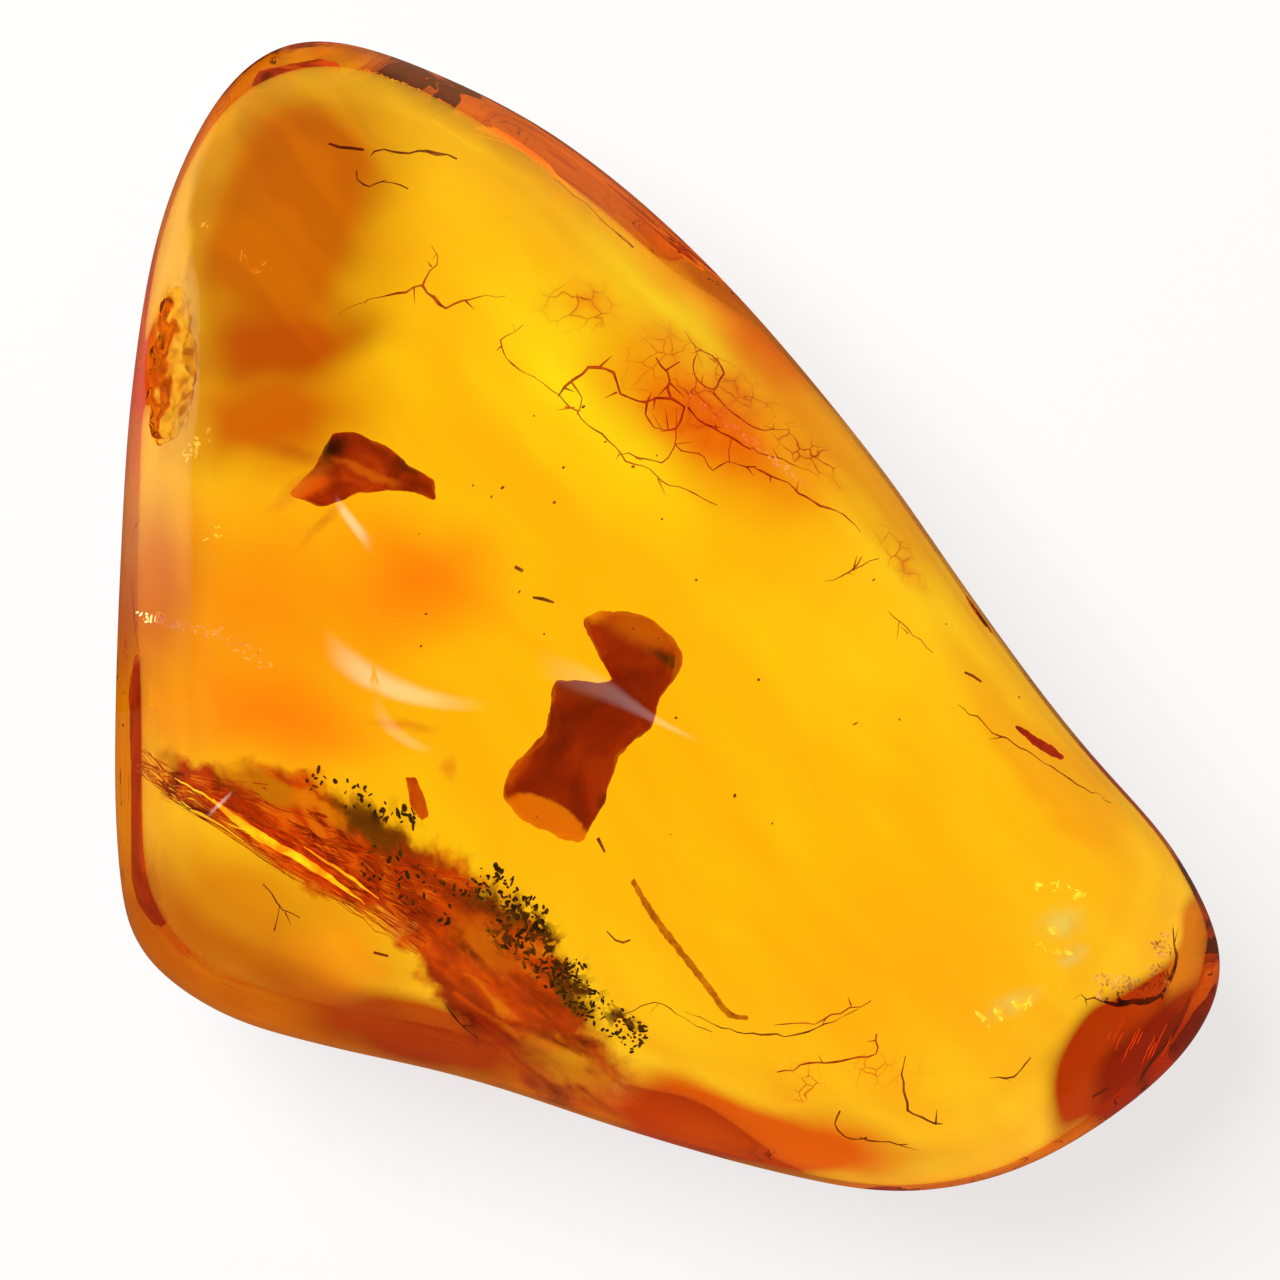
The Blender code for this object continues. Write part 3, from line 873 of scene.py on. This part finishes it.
def bark():
    """The angular chip at the middle, paler along the top of its head and on the broken face at its foot;
    the orange along its head and edges is painted light through the thin edges, and the dark patches are
    partly painted shade.
    """
    bark_and_painted_light = plant_material(
        "red bark",
        [(0.26, 0.012, 0.0004), (0.4, 0.022, 0.0008), (0.52, 0.045, 0.001)],
        2.4,
        0.3,
        patches=[
            # The orange patch at the foot is the broken face; the other orange ones along the head and edges
            # are painted light through the thin edges, and the dark ones are partly painted shade
            spot(-4.6, -7.5, 2.1, 0.8, -24, 0.2, (0.9, 0.27, 0.01)),
            spot(-1.2, -0.7, 2.4, 0.9, -28, 0.9, (0.7, 0.17, 0.006)),
            spot(-3.1, 0.1, 1.0, 0.6, -20, 0.8, (0.95, 0.36, 0.02)),
            spot(-0.2, -1.9, 1.2, 0.35, -34, 0.9, (0.16, 0.03, 0.002)),
            spot(0.3, -2.6, 0.4, 1.6, 8, 0.9, (0.75, 0.14, 0.004)),
            spot(-5.8, -5.4, 0.5, 1.8, -30, 0.9, (0.7, 0.12, 0.004)),
            spot(-3.4, -2.8, 1.8, 0.7, -14, 0.9, (0.36, 0.05, 0.012)),
            spot(-2.4, -7.2, 0.4, 0.9, 0, 0.7, (0.2, 0.01, 0.0005)),
        ],
    )
    chip("bark_piece", "bark_chip", 0.1, 1.2, bark_and_painted_light, share=0.91, shift=(0.0, 0.3))


def bud_scale():
    """The folded scale to the left of the chip, with painted shade in its dark crease and a painted
    highlight on the paler fold below it.
    """
    husk_and_painted_light = plant_material(
        "folded husk",
        [(0.26, 0.012, 0.0004), (0.48, 0.035, 0.0012), (0.68, 0.09, 0.004)],
        1.4,
        0.3,
        patches=[
            # Painted light: the dark patches are painted shade, the orange-red ones painted highlights
            spot(-12.5, 6.3, 1.0, 0.6, 20, 0.8, (0.05, 0.01, 0.001)),
            spot(-13.2, 4.9, 1.3, 0.6, 20, 0.8, (0.95, 0.16, 0.01)),
            spot(-11.2, 5.4, 1.7, 0.25, -24, 0.7, (0.75, 0.17, 0.012)),
            spot(-9.8, 5.6, 0.8, 0.4, -40, 0.8, (0.2, 0.012, 0.0008)),
            spot(-14.4, 6.0, 1.2, 1.4, 0, 0.9, (0.75, 0.2, 0.015)),
        ],
    )
    chip("bud_scale", "bud_husk", 0.08, 0.8, husk_and_painted_light, share=0.93, shift=(0.5, -0.4))


def husk_folds():
    """Thin brown folds that trail from the scale, and smears like them beside the bright field."""
    sheet = veil("husk_folds", (-12.0, 0.6, 13.4), (10.0, 14.0), 0, (46, 62), 0.5)
    regions = [
        spot(-13.9, 6.1, 2.0, 0.55, -16, 0.9),
        spot(-13.6, 4.9, 2.1, 0.5, 38, 0.9),
        spot(-12.9, 3.4, 1.5, 0.3, 44, 0.9),
        spot(-10.0, -4.2, 1.8, 0.35, -6, 0.9),
        spot(-8.3, -5.7, 0.5, 0.6, 0, 0.9),
    ]
    trim(sheet, regions)
    tones = [(0.75, 0.2, 0.015), (0.95, 0.35, 0.03)]
    finish(sheet, film_material("trailing folds", regions, tones, 0.8, 2.6, 0, most=0.5, ragged=0.5))


def small_inclusions():
    """The leaf flake, the hair and the red sliver."""
    leaf = plant_material("leaf tissue", [(0.62, 0.07, 0.003), (0.85, 0.18, 0.006)], 0.5, 0.3)
    hair = plant_material("brown hair", [(0.5, 0.16, 0.012), (0.85, 0.34, 0.02)], 0.4, 0.3)
    red = plant_material("blood red resin", [(0.4, 0.012, 0.001), (0.65, 0.04, 0.002)], 0.5, 0.3)
    chip("leaf_piece", "leaf_flake", 0.04, 0.4, leaf, share=0.9, shift=(0.4, 0.6))
    chip("hair_strand", "plant_hair", 0.05, 0.3, hair)
    chip("resin_sliver", "red_sliver", 0.04, 0.3, red)


SEAM_PLACES = [
    (-20.4, -6.3, 9.6, 1.0),
    (-18.7, -7.3, 9.4, 0.9),
    (-15.6, -8.6, 9.3, 1.8),
    (-12.6, -10.2, 9.3, 2.6),
    (-9.9, -12.4, 9.2, 3.2),
    (-7.3, -14.6, 9.0, 3.2),
    (-4.4, -16.6, 8.9, 2.6),
    (-1.8, -18.0, 8.9, 1.6),
]


def debris_film():
    """The fibrous mass: a creased film along the seam, orange-red, with paler and olive patches."""
    film = veil("debris_film", (-9.8, -11.0, 9.4), (25.0, 14.0), -34, (200, 110), 0.6)
    crumple(film, 1.1, 0.9, noise_depth=4)
    select_only(film)
    bpy.ops.object.shade_smooth()
    regions = [
        spot(-16.4, -6.6, 3.0, 1.0, -24, 0.6),
        spot(-12.2, -8.0, 4.7, 1.9, -25, 0.3),
        spot(-8.4, -10.3, 3.4, 2.4, -46, 0.3),
        spot(-6.2, -12.8, 5.2, 3.0, -50, 0.25),
        spot(-3.8, -16.4, 3.8, 2.4, -36, 0.45),
    ]
    patches = [
        spot(-11.0, -7.2, 2.7, 0.9, -24, 0.7, (0.2, 0.05, 0.005)),
        spot(-13.6, -8.1, 2.8, 0.45, -27, 0.7, (0.8, 0.04, 0.001)),
        spot(-14.6, -6.3, 1.7, 0.5, -25, 0.6, (0.72, 0.3, 0.01)),
        spot(-12.9, -6.7, 1.3, 0.45, -15, 0.7, (0.95, 0.34, 0.02)),
        spot(-10.5, -10.5, 1.2, 0.7, -30, 0.5, (1.0, 0.42, 0.2)),
        spot(-8.0, -14.3, 0.6, 3.4, 29, 0.6, (0.42, 0.01, 0.0005)),
        spot(-6.8, -11.4, 2.4, 1.2, -44, 0.9, (0.8, 0.2, 0.01)),
        spot(-3.4, -17.0, 3.2, 1.7, -34, 0.8, (0.9, 0.45, 0.01)),
        spot(-1.2, -17.9, 1.6, 0.9, -20, 0.8, (1.0, 0.6, 0.2)),
        spot(-3.3, -13.6, 2.4, 0.7, -46, 0.8, (0.2, 0.08, 0.006)),
        spot(-6.0, -10.2, 1.8, 0.6, -30, 0.8, (0.28, 0.08, 0.006)),
    ]
    colours = [(0.24, 0.01, 0.0005), (0.5, 0.03, 0.001), (0.78, 0.075, 0.002), (1.0, 0.3, 0.01)]
    trim(film, regions)
    mass = film_material(
        "fibrous debris", regions, colours, 1.1, 3.0, -40, patches, most=0.97, cover=(0.12, 0.3), ragged=1.6
    )
    finish(film, mass, ("debris_seam",))


def pale_patches():
    """Peach-coloured clouds beside the seam."""
    sheet = veil("pale_patches", (-8.8, -13.6, 8.0), (13.0, 8.0), -20, (40, 24), 0.5)
    regions = [
        spot(-11.5, -14.1, 2.3, 0.9, -14, 0.8),
        spot(-4.4, -12.0, 1.1, 3.0, 36, 0.9),
    ]
    trim(sheet, regions)
    colours = [(0.95, 0.5, 0.2), (1.0, 0.68, 0.3)]
    peach = film_material("peach clouds", regions, colours, 2.0, 1.5, -20, most=0.5)
    finish(sheet, peach)


def milky_clouds():
    """Pale yellow milky patches near the lower right end."""
    sheet = veil("milky_clouds", (13.4, -13.2, 12.4), (7.0, 6.6), 20, (30, 28), 0.4)
    regions = [
        spot(14.6, -11.7, 1.5, 0.9, 10, 0.9),
        spot(15.1, -12.9, 0.9, 0.8, 0, 0.9),
        spot(12.7, -14.7, 1.7, 0.6, 26, 0.8),
    ]
    trim(sheet, regions)
    colours = [(1.0, 0.7, 0.08), (1.0, 0.95, 0.4)]
    milk = film_material("milky resin", regions, colours, 1.0, 1.3, 20, cover=(0.1, 0.35), ragged=0.8)
    finish(sheet, milk)


def lens_break():
    """A dark ragged break above the red lens at the lower right."""
    bend = (19.0, -14.7, 10.7, 0.16)
    along = [(15.4, -14.4, 11.2, 0.03), (16.2, -14.7, 11.1, 0.14), (17.5, -14.9, 11.0, 0.22)]
    up = [(19.3, -14.0, 10.6, 0.16), (19.5, -13.1, 10.6, 0.12), (19.2, -12.2, 10.6, 0.03)]
    places = [[*along, (18.5, -14.9, 10.8, 0.22), bend], [bend, *up]]
    runs = [run for k, ends in enumerate(places) for run in cracked(ends, 300 + k, 0.14, 4)]
    tones = [(0.06, 0.02, 0.004), (0.3, 0.08, 0.01), (0.7, 0.3, 0.06)]
    dirt = plant_material("break dirt", tones, 0.5, 0.2, 0.7)
    finish(strands("lens_break", runs, order=2), dirt)


def lens_crumbs():
    """Pale crumbs along the break."""
    beds = [
        ((17.7, -14.3, 11.3), (3.4, 1.0), -4, (12, 4), 70),
        ((18.8, -13.4, 11.0), (1.0, 2.2), 0, (4, 10), 40),
    ]
    crumb = grain("pale crumb", (0.42, 0.28, 0.2), 0.2)
    made = crumbs_on("lens_crumbs", crumb, beds, (0.2, 0.8), 51, 0.3, clump=0.5)
    tones = [(0.3, 0.14, 0.04), (0.7, 0.42, 0.14), (0.95, 0.7, 0.3)]
    finish(made, plant_material("pale break", tones, 0.4, 0.6, 0.6))


def lens_streaks():
    """Short bright streaks side by side in the red lens, given a strong painted glow."""
    runs = []
    for k in range(10):
        x = 16.7 + 0.3 * k + 0.12 * math.sin(2.3 * k)
        y = -16.1 - 0.1 * k + 0.3 * math.sin(1.7 * k)
        half = 0.2 + 0.5 * (k * 0.618 % 1.0)
        foot = (x - 0.4 * half, y - half, 10.3, 0.03)
        head = (x + 0.4 * half, y + half, 10.3, 0.03)
        runs.append([foot, (x, y, 10.4, 0.1), head])
    streaks = strands("lens_streaks", runs, 0.15)
    bright = plant_material("bright cracks", [(0.8, 0.2, 0.01), (1.0, 0.55, 0.05)], 0.4, 1.4, 0.3)
    finish(streaks, bright)


def seam_fibres():
    """Fine fibres that run with the seam, close together at its narrow end."""
    runs = []
    for k in range(84):
        side = 0.3 + (k * 0.618 % 1.0)
        first = k * 7 % 3
        last = min(first + 2 + k % 3, 4)
        depth = (k * 0.387 % 1.0 - 0.5) * 1.0
        run = []
        for i in range(first, last + 1):
            x, y, z, half = SEAM_PLACES[i]
            after = SEAM_PLACES[min(i + 1, len(SEAM_PLACES) - 1)]
            before = SEAM_PLACES[max(i - 1, 0)]
            along = (Vector(after[:2]) - Vector(before[:2])).normalized()
            off = side * half * (0.85 + 0.3 * math.sin(k + 1.7 * i))
            thickness = (0.03 + 0.05 * (k * 0.237 % 1.0)) * (0.4 if i in (first, last) else 1.0)
            run.append((x - along.y * off, y + along.x * off, z + 0.3 + depth, thickness))
        runs.append(run)
    fibres = strands("seam_fibres", runs, 0.4)
    tones = [(0.22, 0.02, 0.001), (0.45, 0.05, 0.002), (0.7, 0.12, 0.004), (0.95, 0.34, 0.012)]
    finish(fibres, plant_material("seam fibre", tones, 0.9, 0.3))


def bright_streak():
    """The glowing yellow streak along the foot of the fibres."""
    runs = [
        [
            (-16.4, -7.1, 10.6, 0.06), (-15.7, -7.6, 10.6, 0.32),
            (-14.7, -8.1, 10.5, 0.32), (-13.7, -8.5, 10.4, 0.08),
        ],
        [
            (-15.2, -7.8, 10.7, 0.06), (-14.3, -8.2, 10.7, 0.2),
            (-13.0, -8.8, 10.6, 0.26), (-12.0, -9.5, 10.5, 0.05),
        ],
        [
            (-14.2, -8.4, 10.7, 0.04), (-13.2, -8.9, 10.7, 0.14),
            (-12.4, -9.3, 10.6, 0.14), (-11.4, -10.0, 10.5, 0.04),
        ],
        [
            (-13.6, -8.1, 10.7, 0.03), (-12.6, -8.6, 10.7, 0.1),
            (-11.6, -9.2, 10.6, 0.12), (-10.9, -9.8, 10.5, 0.03),
        ],
        [
            (-18.2, -6.4, 10.6, 0.03), (-17.4, -6.7, 10.6, 0.07),
            (-16.6, -7.0, 10.6, 0.1), (-15.8, -7.5, 10.5, 0.03),
        ],
    ]
    streak = strands("bright_streak", runs, 0.15, sides=2)
    tones = [(1.0, 0.22, 0.01), (1.0, 0.5, 0.02), (1.0, 0.85, 0.06)]
    finish(streak, plant_material("bright streak", tones, 1.0, 1.1, 0.3))


def black_specks():
    """Dark crumbs along the seam, thickest at its middle."""
    beds = [
        ((-6.0, -9.9, 10.4), (3.2, 1.6), -38, (12, 6), 90),
        ((-4.8, -11.7, 10.4), (4.0, 1.7), -42, (12, 6), 150),
        ((-2.4, -14.2, 10.2), (4.4, 1.4), -38, (12, 6), 120),
        ((-11.4, -6.6, 10.6), (4.0, 0.8), -20, (12, 6), 60),
        ((-9.6, -9.2, 10.4), (4.0, 1.6), -30, (12, 6), 50),
    ]
    crumb = grain("crumb", (0.38, 0.22, 0.14), 0.2)
    made = crumbs_on("black_specks", crumb, beds, (0.25, 1.0), 11, 0.6, clump=0.8)
    tones = [(0.04, 0.025, 0.005), (0.1, 0.06, 0.01), (0.3, 0.1, 0.01)]
    finish(made, plant_material("black crumbs", tones, 0.5, 0.1, 0.7))


def dark_threads():
    """Smoky threads between the specks."""
    sheet = veil("dark_threads", (-8.0, -11.6, 10.6), (19.0, 8.0), -36, (60, 30), 0.5)
    regions = [
        spot(-5.0, -11.4, 3.8, 1.4, -42, 0.6),
        spot(-2.4, -14.2, 2.8, 1.0, -38, 0.6),
        spot(-11.2, -6.9, 3.0, 1.0, -22, 0.6),
    ]
    trim(sheet, regions, 0.6)
    finish(sheet, worm_material("dark threads", regions, 0.75, 0.09, (0.03, 0.02, 0.005)))


def upper_crack_net():
    """A net of fine cracks with orange halos under the right-hand slope."""
    sheet = veil("upper_crack_net", (-0.4, 6.8, 12.5), (24.0, 9.5), -38, (90, 36), 0.8, lean=(-12, 4))
    regions = [
        spot(1.0, 7.6, 5.4, 2.7, -36, 0.8),
        spot(4.6, 5.4, 3.4, 1.1, -40, 0.8),
        spot(8.2, 1.6, 2.2, 0.9, -55, 0.9),
        spot(-3.9, 11.2, 2.2, 1.4, -12, 0.9),
    ]
    trim(sheet, regions)
    line, halo = (0.55, 0.06, 0.004), (0.98, 0.19, 0.01)
    finish(sheet, crack_net_material("upper cracks", 0.8, regions, line, halo, 0.75))


def lower_crack_net():
    """A smaller net of the same kind near the foot."""
    sheet = veil("lower_crack_net", (6.6, -17.2, 10.0), (8.6, 4.6), 10, (30, 24), 0.5)
    regions = [spot(6.6, -17.2, 4.0, 1.7, 10, 0.8)]
    trim(sheet, regions)
    line, halo = (0.7, 0.06, 0.003), (1.0, 0.25, 0.01)
    finish(sheet, crack_net_material("lower cracks", 0.7, regions, line, halo, 0.5))


# Longer cracks of the nets as (x, y, z, thickness) in millimetres, where they are seen from above
RED_LINES = [
    [(-9.1, 15.0, 15, 0.04), (-8.9, 14.3, 15, 0.06), (-9.5, 13.3, 15, 0.1)],
    [(-9.5, 13.3, 15, 0.1), (-10.3, 13.1, 15, 0.08), (-11.5, 12.9, 15, 0.04), (-12.6, 12.3, 15, 0.02)],
    [(-9.5, 13.3, 15, 0.1), (-8.7, 12.5, 15, 0.09), (-7.3, 12.9, 15, 0.05), (-6.3, 12.9, 15, 0.02)],
    [(-5.6, 11.6, 14.8, 0.02), (-6.6, 11.2, 14.8, 0.05), (-6.2, 10.2, 14.8, 0.06), (-5.1, 9.6, 14.8, 0.04)],
    [(-5.1, 9.6, 14.8, 0.04), (-4.3, 8.9, 14.8, 0.06), (-3.5, 8.1, 14.8, 0.05), (-2.5, 7.3, 14.8, 0.07)],
    [(-2.5, 7.3, 14.8, 0.06), (-1.9, 6.5, 14.8, 0.05), (-0.1, 5.4, 14.8, 0.05), (1.9, 4.4, 14.6, 0.03)],
    [(-4.3, 8.9, 14.8, 0.05), (-3.7, 9.4, 14.8, 0.1), (-3.0, 10.1, 14.8, 0.12), (-2.2, 9.7, 14.6, 0.1)],
    [(-2.2, 9.7, 14.6, 0.1), (-2.0, 9.0, 14.6, 0.08), (-1.4, 8.6, 14.6, 0.1), (-0.9, 8.5, 14.6, 0.12)],
    [(-3.7, 9.4, 14.8, 0.06), (-3.3, 8.9, 14.8, 0.04), (-3.5, 8.1, 14.8, 0.04)],
    [(-0.9, 8.5, 14.6, 0.12), (-0.1, 8.6, 14.4, 0.14), (0.6, 8.2, 14.4, 0.12), (0.2, 7.4, 14.4, 0.08)],
    [(0.2, 7.4, 14.4, 0.08), (-0.6, 7.4, 14.5, 0.06), (-1.0, 8.1, 14.5, 0.08), (-0.9, 8.5, 14.6, 0.1)],
    [(-0.7, 10.2, 14.0, 0.05), (-0.3, 9.7, 14.0, 0.08), (-0.1, 8.6, 14.2, 0.1)],
    [(-0.3, 9.7, 14.0, 0.06), (0.3, 10.1, 13.8, 0.04)],
    [(0.7, 11.6, 13.0, 0.04), (1.0, 10.9, 13.2, 0.07), (1.9, 10.6, 13.2, 0.09), (2.2, 9.8, 13.2, 0.1)],
    [(2.2, 9.8, 13.2, 0.1), (1.7, 8.9, 13.8, 0.08), (0.9, 9.4, 13.8, 0.06), (1.0, 10.9, 13.2, 0.04)],
    [(1.7, 8.9, 13.8, 0.08), (2.6, 7.8, 13.8, 0.08), (3.4, 7.3, 13.4, 0.07), (4.7, 7.4, 12.6, 0.03)],
    [(0.6, 8.2, 14.4, 0.08), (1.0, 7.8, 14.4, 0.06), (2.3, 7.0, 14.2, 0.08), (3.1, 6.5, 14.0, 0.07)],
    [(3.1, 6.5, 14.0, 0.07), (4.5, 6.1, 13.6, 0.06), (5.5, 5.7, 13.2, 0.03)],
    [
        (-1.9, 6.5, 14.8, 0.04), (-0.9, 6.4, 14.8, 0.05), (-0.1, 6.1, 14.8, 0.06),
        (0.2, 6.8, 14.6, 0.05), (0.2, 7.4, 14.4, 0.04),
    ],
    [
        (0.2, 6.8, 14.6, 0.05), (1.3, 6.4, 14.4, 0.05), (1.5, 5.8, 14.4, 0.06),
        (2.3, 6.0, 14.4, 0.05), (3.3, 5.8, 14.0, 0.06),
    ],
    [(2.3, 7.0, 14.2, 0.05), (2.3, 6.0, 14.4, 0.04)],
    [
        (3.3, 5.8, 14.0, 0.07), (4.5, 5.2, 14.0, 0.08), (5.4, 4.5, 13.8, 0.1),
        (6.6, 4.0, 13.4, 0.08), (7.5, 3.2, 13.2, 0.03),
    ],
    [(6.1, 1.2, 14.0, 0.04), (7.1, 1.7, 13.6, 0.07), (7.5, 2.2, 13.4, 0.04)],
    [(7.1, 1.7, 13.6, 0.05), (8.2, 2.1, 13.0, 0.03)],
    [(8.6, 0.0, 13.2, 0.03), (9.4, -0.9, 13.2, 0.06), (10.3, -1.8, 13.0, 0.03)],
    [(4.8, -15.8, 12.6, 0.03), (6.2, -15.7, 12.6, 0.08), (7.4, -15.3, 12.6, 0.1), (8.4, -14.9, 12.6, 0.04)],
    [(4.9, -17.9, 12.4, 0.05), (6.7, -17.4, 12.4, 0.1), (8.8, -17.0, 12.4, 0.1), (8.7, -16.2, 12.4, 0.05)],
]


def red_lines():
    """The longer cracks of the nets, rusty where air has got in."""
    runs = []
    for k, places in enumerate(RED_LINES):
        runs += cracked(beneath(places, -0.35, -0.25), 200 + k, 0.12)
    tones = [(0.36, 0.04, 0.002), (0.6, 0.09, 0.005), (0.8, 0.2, 0.012)]
    rust = plant_material("rusty crack", tones, 0.7, 0.3, 0.6)
    finish(strands("red_cracks", runs, order=2), rust)


HAIRLINES = [
    [(-13.6, 18.9, 13, 0.08), (-13.0, 18.7, 13, 0.2), (-12.3, 18.6, 13, 0.1)],
    [(-11.9, 18.6, 13, 0.06), (-10.8, 18.4, 13, 0.12), (-9.9, 18.5, 13, 0.16), (-8.9, 18.2, 13, 0.1)],
    [(-12.6, 17.6, 12, 0.04), (-12.2, 16.9, 12, 0.07), (-11.5, 17.2, 12, 0.05), (-10.7, 16.8, 12, 0.04)],
    [(-4.8, 18.0, 12, 0.03), (-3.6, 17.0, 12, 0.06), (-2.7, 16.0, 12, 0.05), (-1.6, 15.1, 12, 0.16)],
    [
        (10.6, -4.6, 11, 0.04), (11.9, -5.8, 11, 0.06), (13.7, -7.0, 11, 0.05),
        (15.2, -8.0, 11, 0.06), (17.1, -8.7, 11, 0.03),
    ],
    [(10.8, -3.3, 11, 0.08), (11.5, -3.7, 11, 0.1)],
    [
        (9.4, -17.4, 12, 0.03), (9.5, -18.8, 12, 0.07), (9.7, -19.9, 12, 0.1),
        (10.5, -20.4, 12, 0.1), (11.0, -20.5, 12, 0.04),
    ],
    [(12.6, -18.6, 12, 0.04), (13.4, -18.7, 12, 0.1), (14.2, -17.9, 12, 0.05)],
    [(7.1, -19.9, 12, 0.05), (6.8, -20.8, 12, 0.1), (7.3, -21.3, 12, 0.06), (8.1, -21.2, 12, 0.08)],
    [(7.8, -21.2, 12, 0.05), (8.8, -21.4, 12, 0.1), (9.7, -21.5, 12, 0.05)],
    [(0.9, -15.4, 12, 0.02), (2.9, -16.3, 12, 0.06), (5.3, -16.4, 12, 0.08), (7.6, -15.4, 12, 0.03)],
    [(-2.0, -15.9, 12, 0.02), (-0.4, -14.9, 12, 0.05), (2.0, -16.3, 12, 0.03)],
    [(16.9, -19.7, 10, 0.1), (17.6, -19.4, 10, 0.16)],
    [(-6.1, 1.9, 15, 0.12), (-5.8, 1.7, 15, 0.14)],
    [(-5.4, 0.7, 15, 0.08), (-4.9, 0.55, 15, 0.16), (-4.6, 0.45, 15, 0.08)],
    [(-2.2, -11.9, 11, 0.1), (-1.6, -12.4, 11, 0.16), (-1.2, -12.2, 11, 0.06)],
    [(-2.7, -8.6, 11, 0.14), (-2.4, -9.1, 11, 0.08)],
    [(-15.9, -10.2, 11, 0.04), (-15.4, -11.1, 11, 0.09), (-14.6, -11.5, 11, 0.04)],
    [(-15.3, -11.0, 11, 0.03), (-15.7, -12.2, 11, 0.06)],
    [(-8.9, -15.4, 11, 0.05), (-8.2, -16.4, 11, 0.1), (-7.6, -17.0, 11, 0.06)],
    [(-11.7, -13.0, 11, 0.12), (-11.1, -13.1, 11, 0.12)],
]


def hairline_cracks():
    """Short dark cracks near the rims and among the inclusions."""
    runs = []
    for k, places in enumerate(HAIRLINES):
        runs += cracked(beneath(places), k, twigs=1)
    tones = [(0.14, 0.03, 0.003), (0.36, 0.1, 0.008), (0.6, 0.22, 0.02)]
    dark = plant_material("crack dirt", tones, 0.6, 0.2, 0.7)
    finish(strands("hairline_cracks", runs, order=2), dark)


def silver_crumbs():
    """A pale crumbly line near the left edge, and a pale scratch among the cracks."""
    beds = [
        ((-18.6, -0.4, 12.6), (4.4, 0.35), -10, (16, 3), 60),
        ((-15.6, -1.3, 12.6), (2.6, 0.5), -36, (16, 3), 40),
        ((2.7, 6.2, 14.2), (6.0, 0.35), -34, (16, 3), 60),
    ]
    crumb = grain("silver crumb", (0.36, 0.14, 0.1), 0.1)
    made = crumbs_on("silver_crumbs", crumb, beds, (0.25, 1.0), 5, 0.5)
    tones = [(0.9, 0.4, 0.1), (1.0, 0.62, 0.26), (1.0, 0.85, 0.5)]
    finish(made, plant_material("pale crumbs", tones, 0.4, 0.5, 0.4))


def glints():
    """Crumpled flakes that catch the light."""
    places = [
        (14.6, -10.5, 2.2, 0.4, -12, 9),
        (14.4, -12.4, 1.8, 0.8, -30, 10),
        (12.6, -14.9, 2.4, 0.6, 24, 12),
        (-17.6, 6.6, 1.6, 0.7, 30, 9),
        (-16.8, 3.2, 1.0, 0.6, 0, 5),
        (-17.6, 15.2, 0.3, 0.8, 0, 2),
        (-15.5, 13.4, 1.0, 0.8, 0, 3),
    ]
    beds = [((x, y, 12.5), (long, wide), turn, (6, 4), count) for x, y, long, wide, turn, count in places]
    crumb = grain("flake", (0.6, 0.3, 0.04), 0.25)
    made = crumbs_on("glints", crumb, beds, (0.25, 1.0), 40, 0.3)
    bright = plant_material("bright flakes", [(1.0, 0.62, 0.02), (1.0, 0.95, 0.25)], 0.4, 0.8, 0.3)
    finish(made, bright)


def stray_grains():
    """Single dark specks through the clear middle of the stone."""
    crumb = grain("stray", (0.24, 0.16, 0.16), 0.08)
    bed = veil("stray bed", (0.0, -2.0, 11.0), (22.0, 15.0), -44, (12, 10), 2.0)
    made = scatter("stray_grains", bed, crumb, 34, 0.2, 0.9, 77)
    remove(crumb)
    brown = plant_material("stray dirt", [(0.3, 0.06, 0.004), (0.6, 0.16, 0.01)], 0.5, 0.2, 0.6)
    finish(made, brown)


clear_stone()
bark()
bud_scale()
husk_folds()
small_inclusions()
debris_film()
pale_patches()
milky_clouds()
seam_fibres()
bright_streak()
black_specks()
dark_threads()
lens_break()
lens_crumbs()
lens_streaks()
upper_crack_net()
lower_crack_net()
red_lines()
hairline_cracks()
silver_crumbs()
glints()
stray_grains()

floor()
sky()
light_card("left_window", (-157, -5, 350), (215, 9), (0, 0, -7), 5.0)
light_card("left_window_edge", (-138, -32, 350), (95, 16), (0, 0, -34), 2.0)
light_card("far_window", (-208, 35, 350), (70, 7), (0, 0, -16), 6.0)
light_card("ceiling_strip", (8, -9, 350), (58, 7), (0, 0, -12), 2.5)
light_card("side_strip", (-500, -78, 58), (110, 14), (0, 90, 0), 5.0)
light_card("left_reflector", (-62, 14, 0.5), (88, 36), (0, 0, 0), 0.65, inner=0.2)
area_light("key", (-0.25, 0.22, 0.45), (0.35, 0.35), 3.0)
camera()
bpy.context.scene.view_settings.view_transform = "Standard"
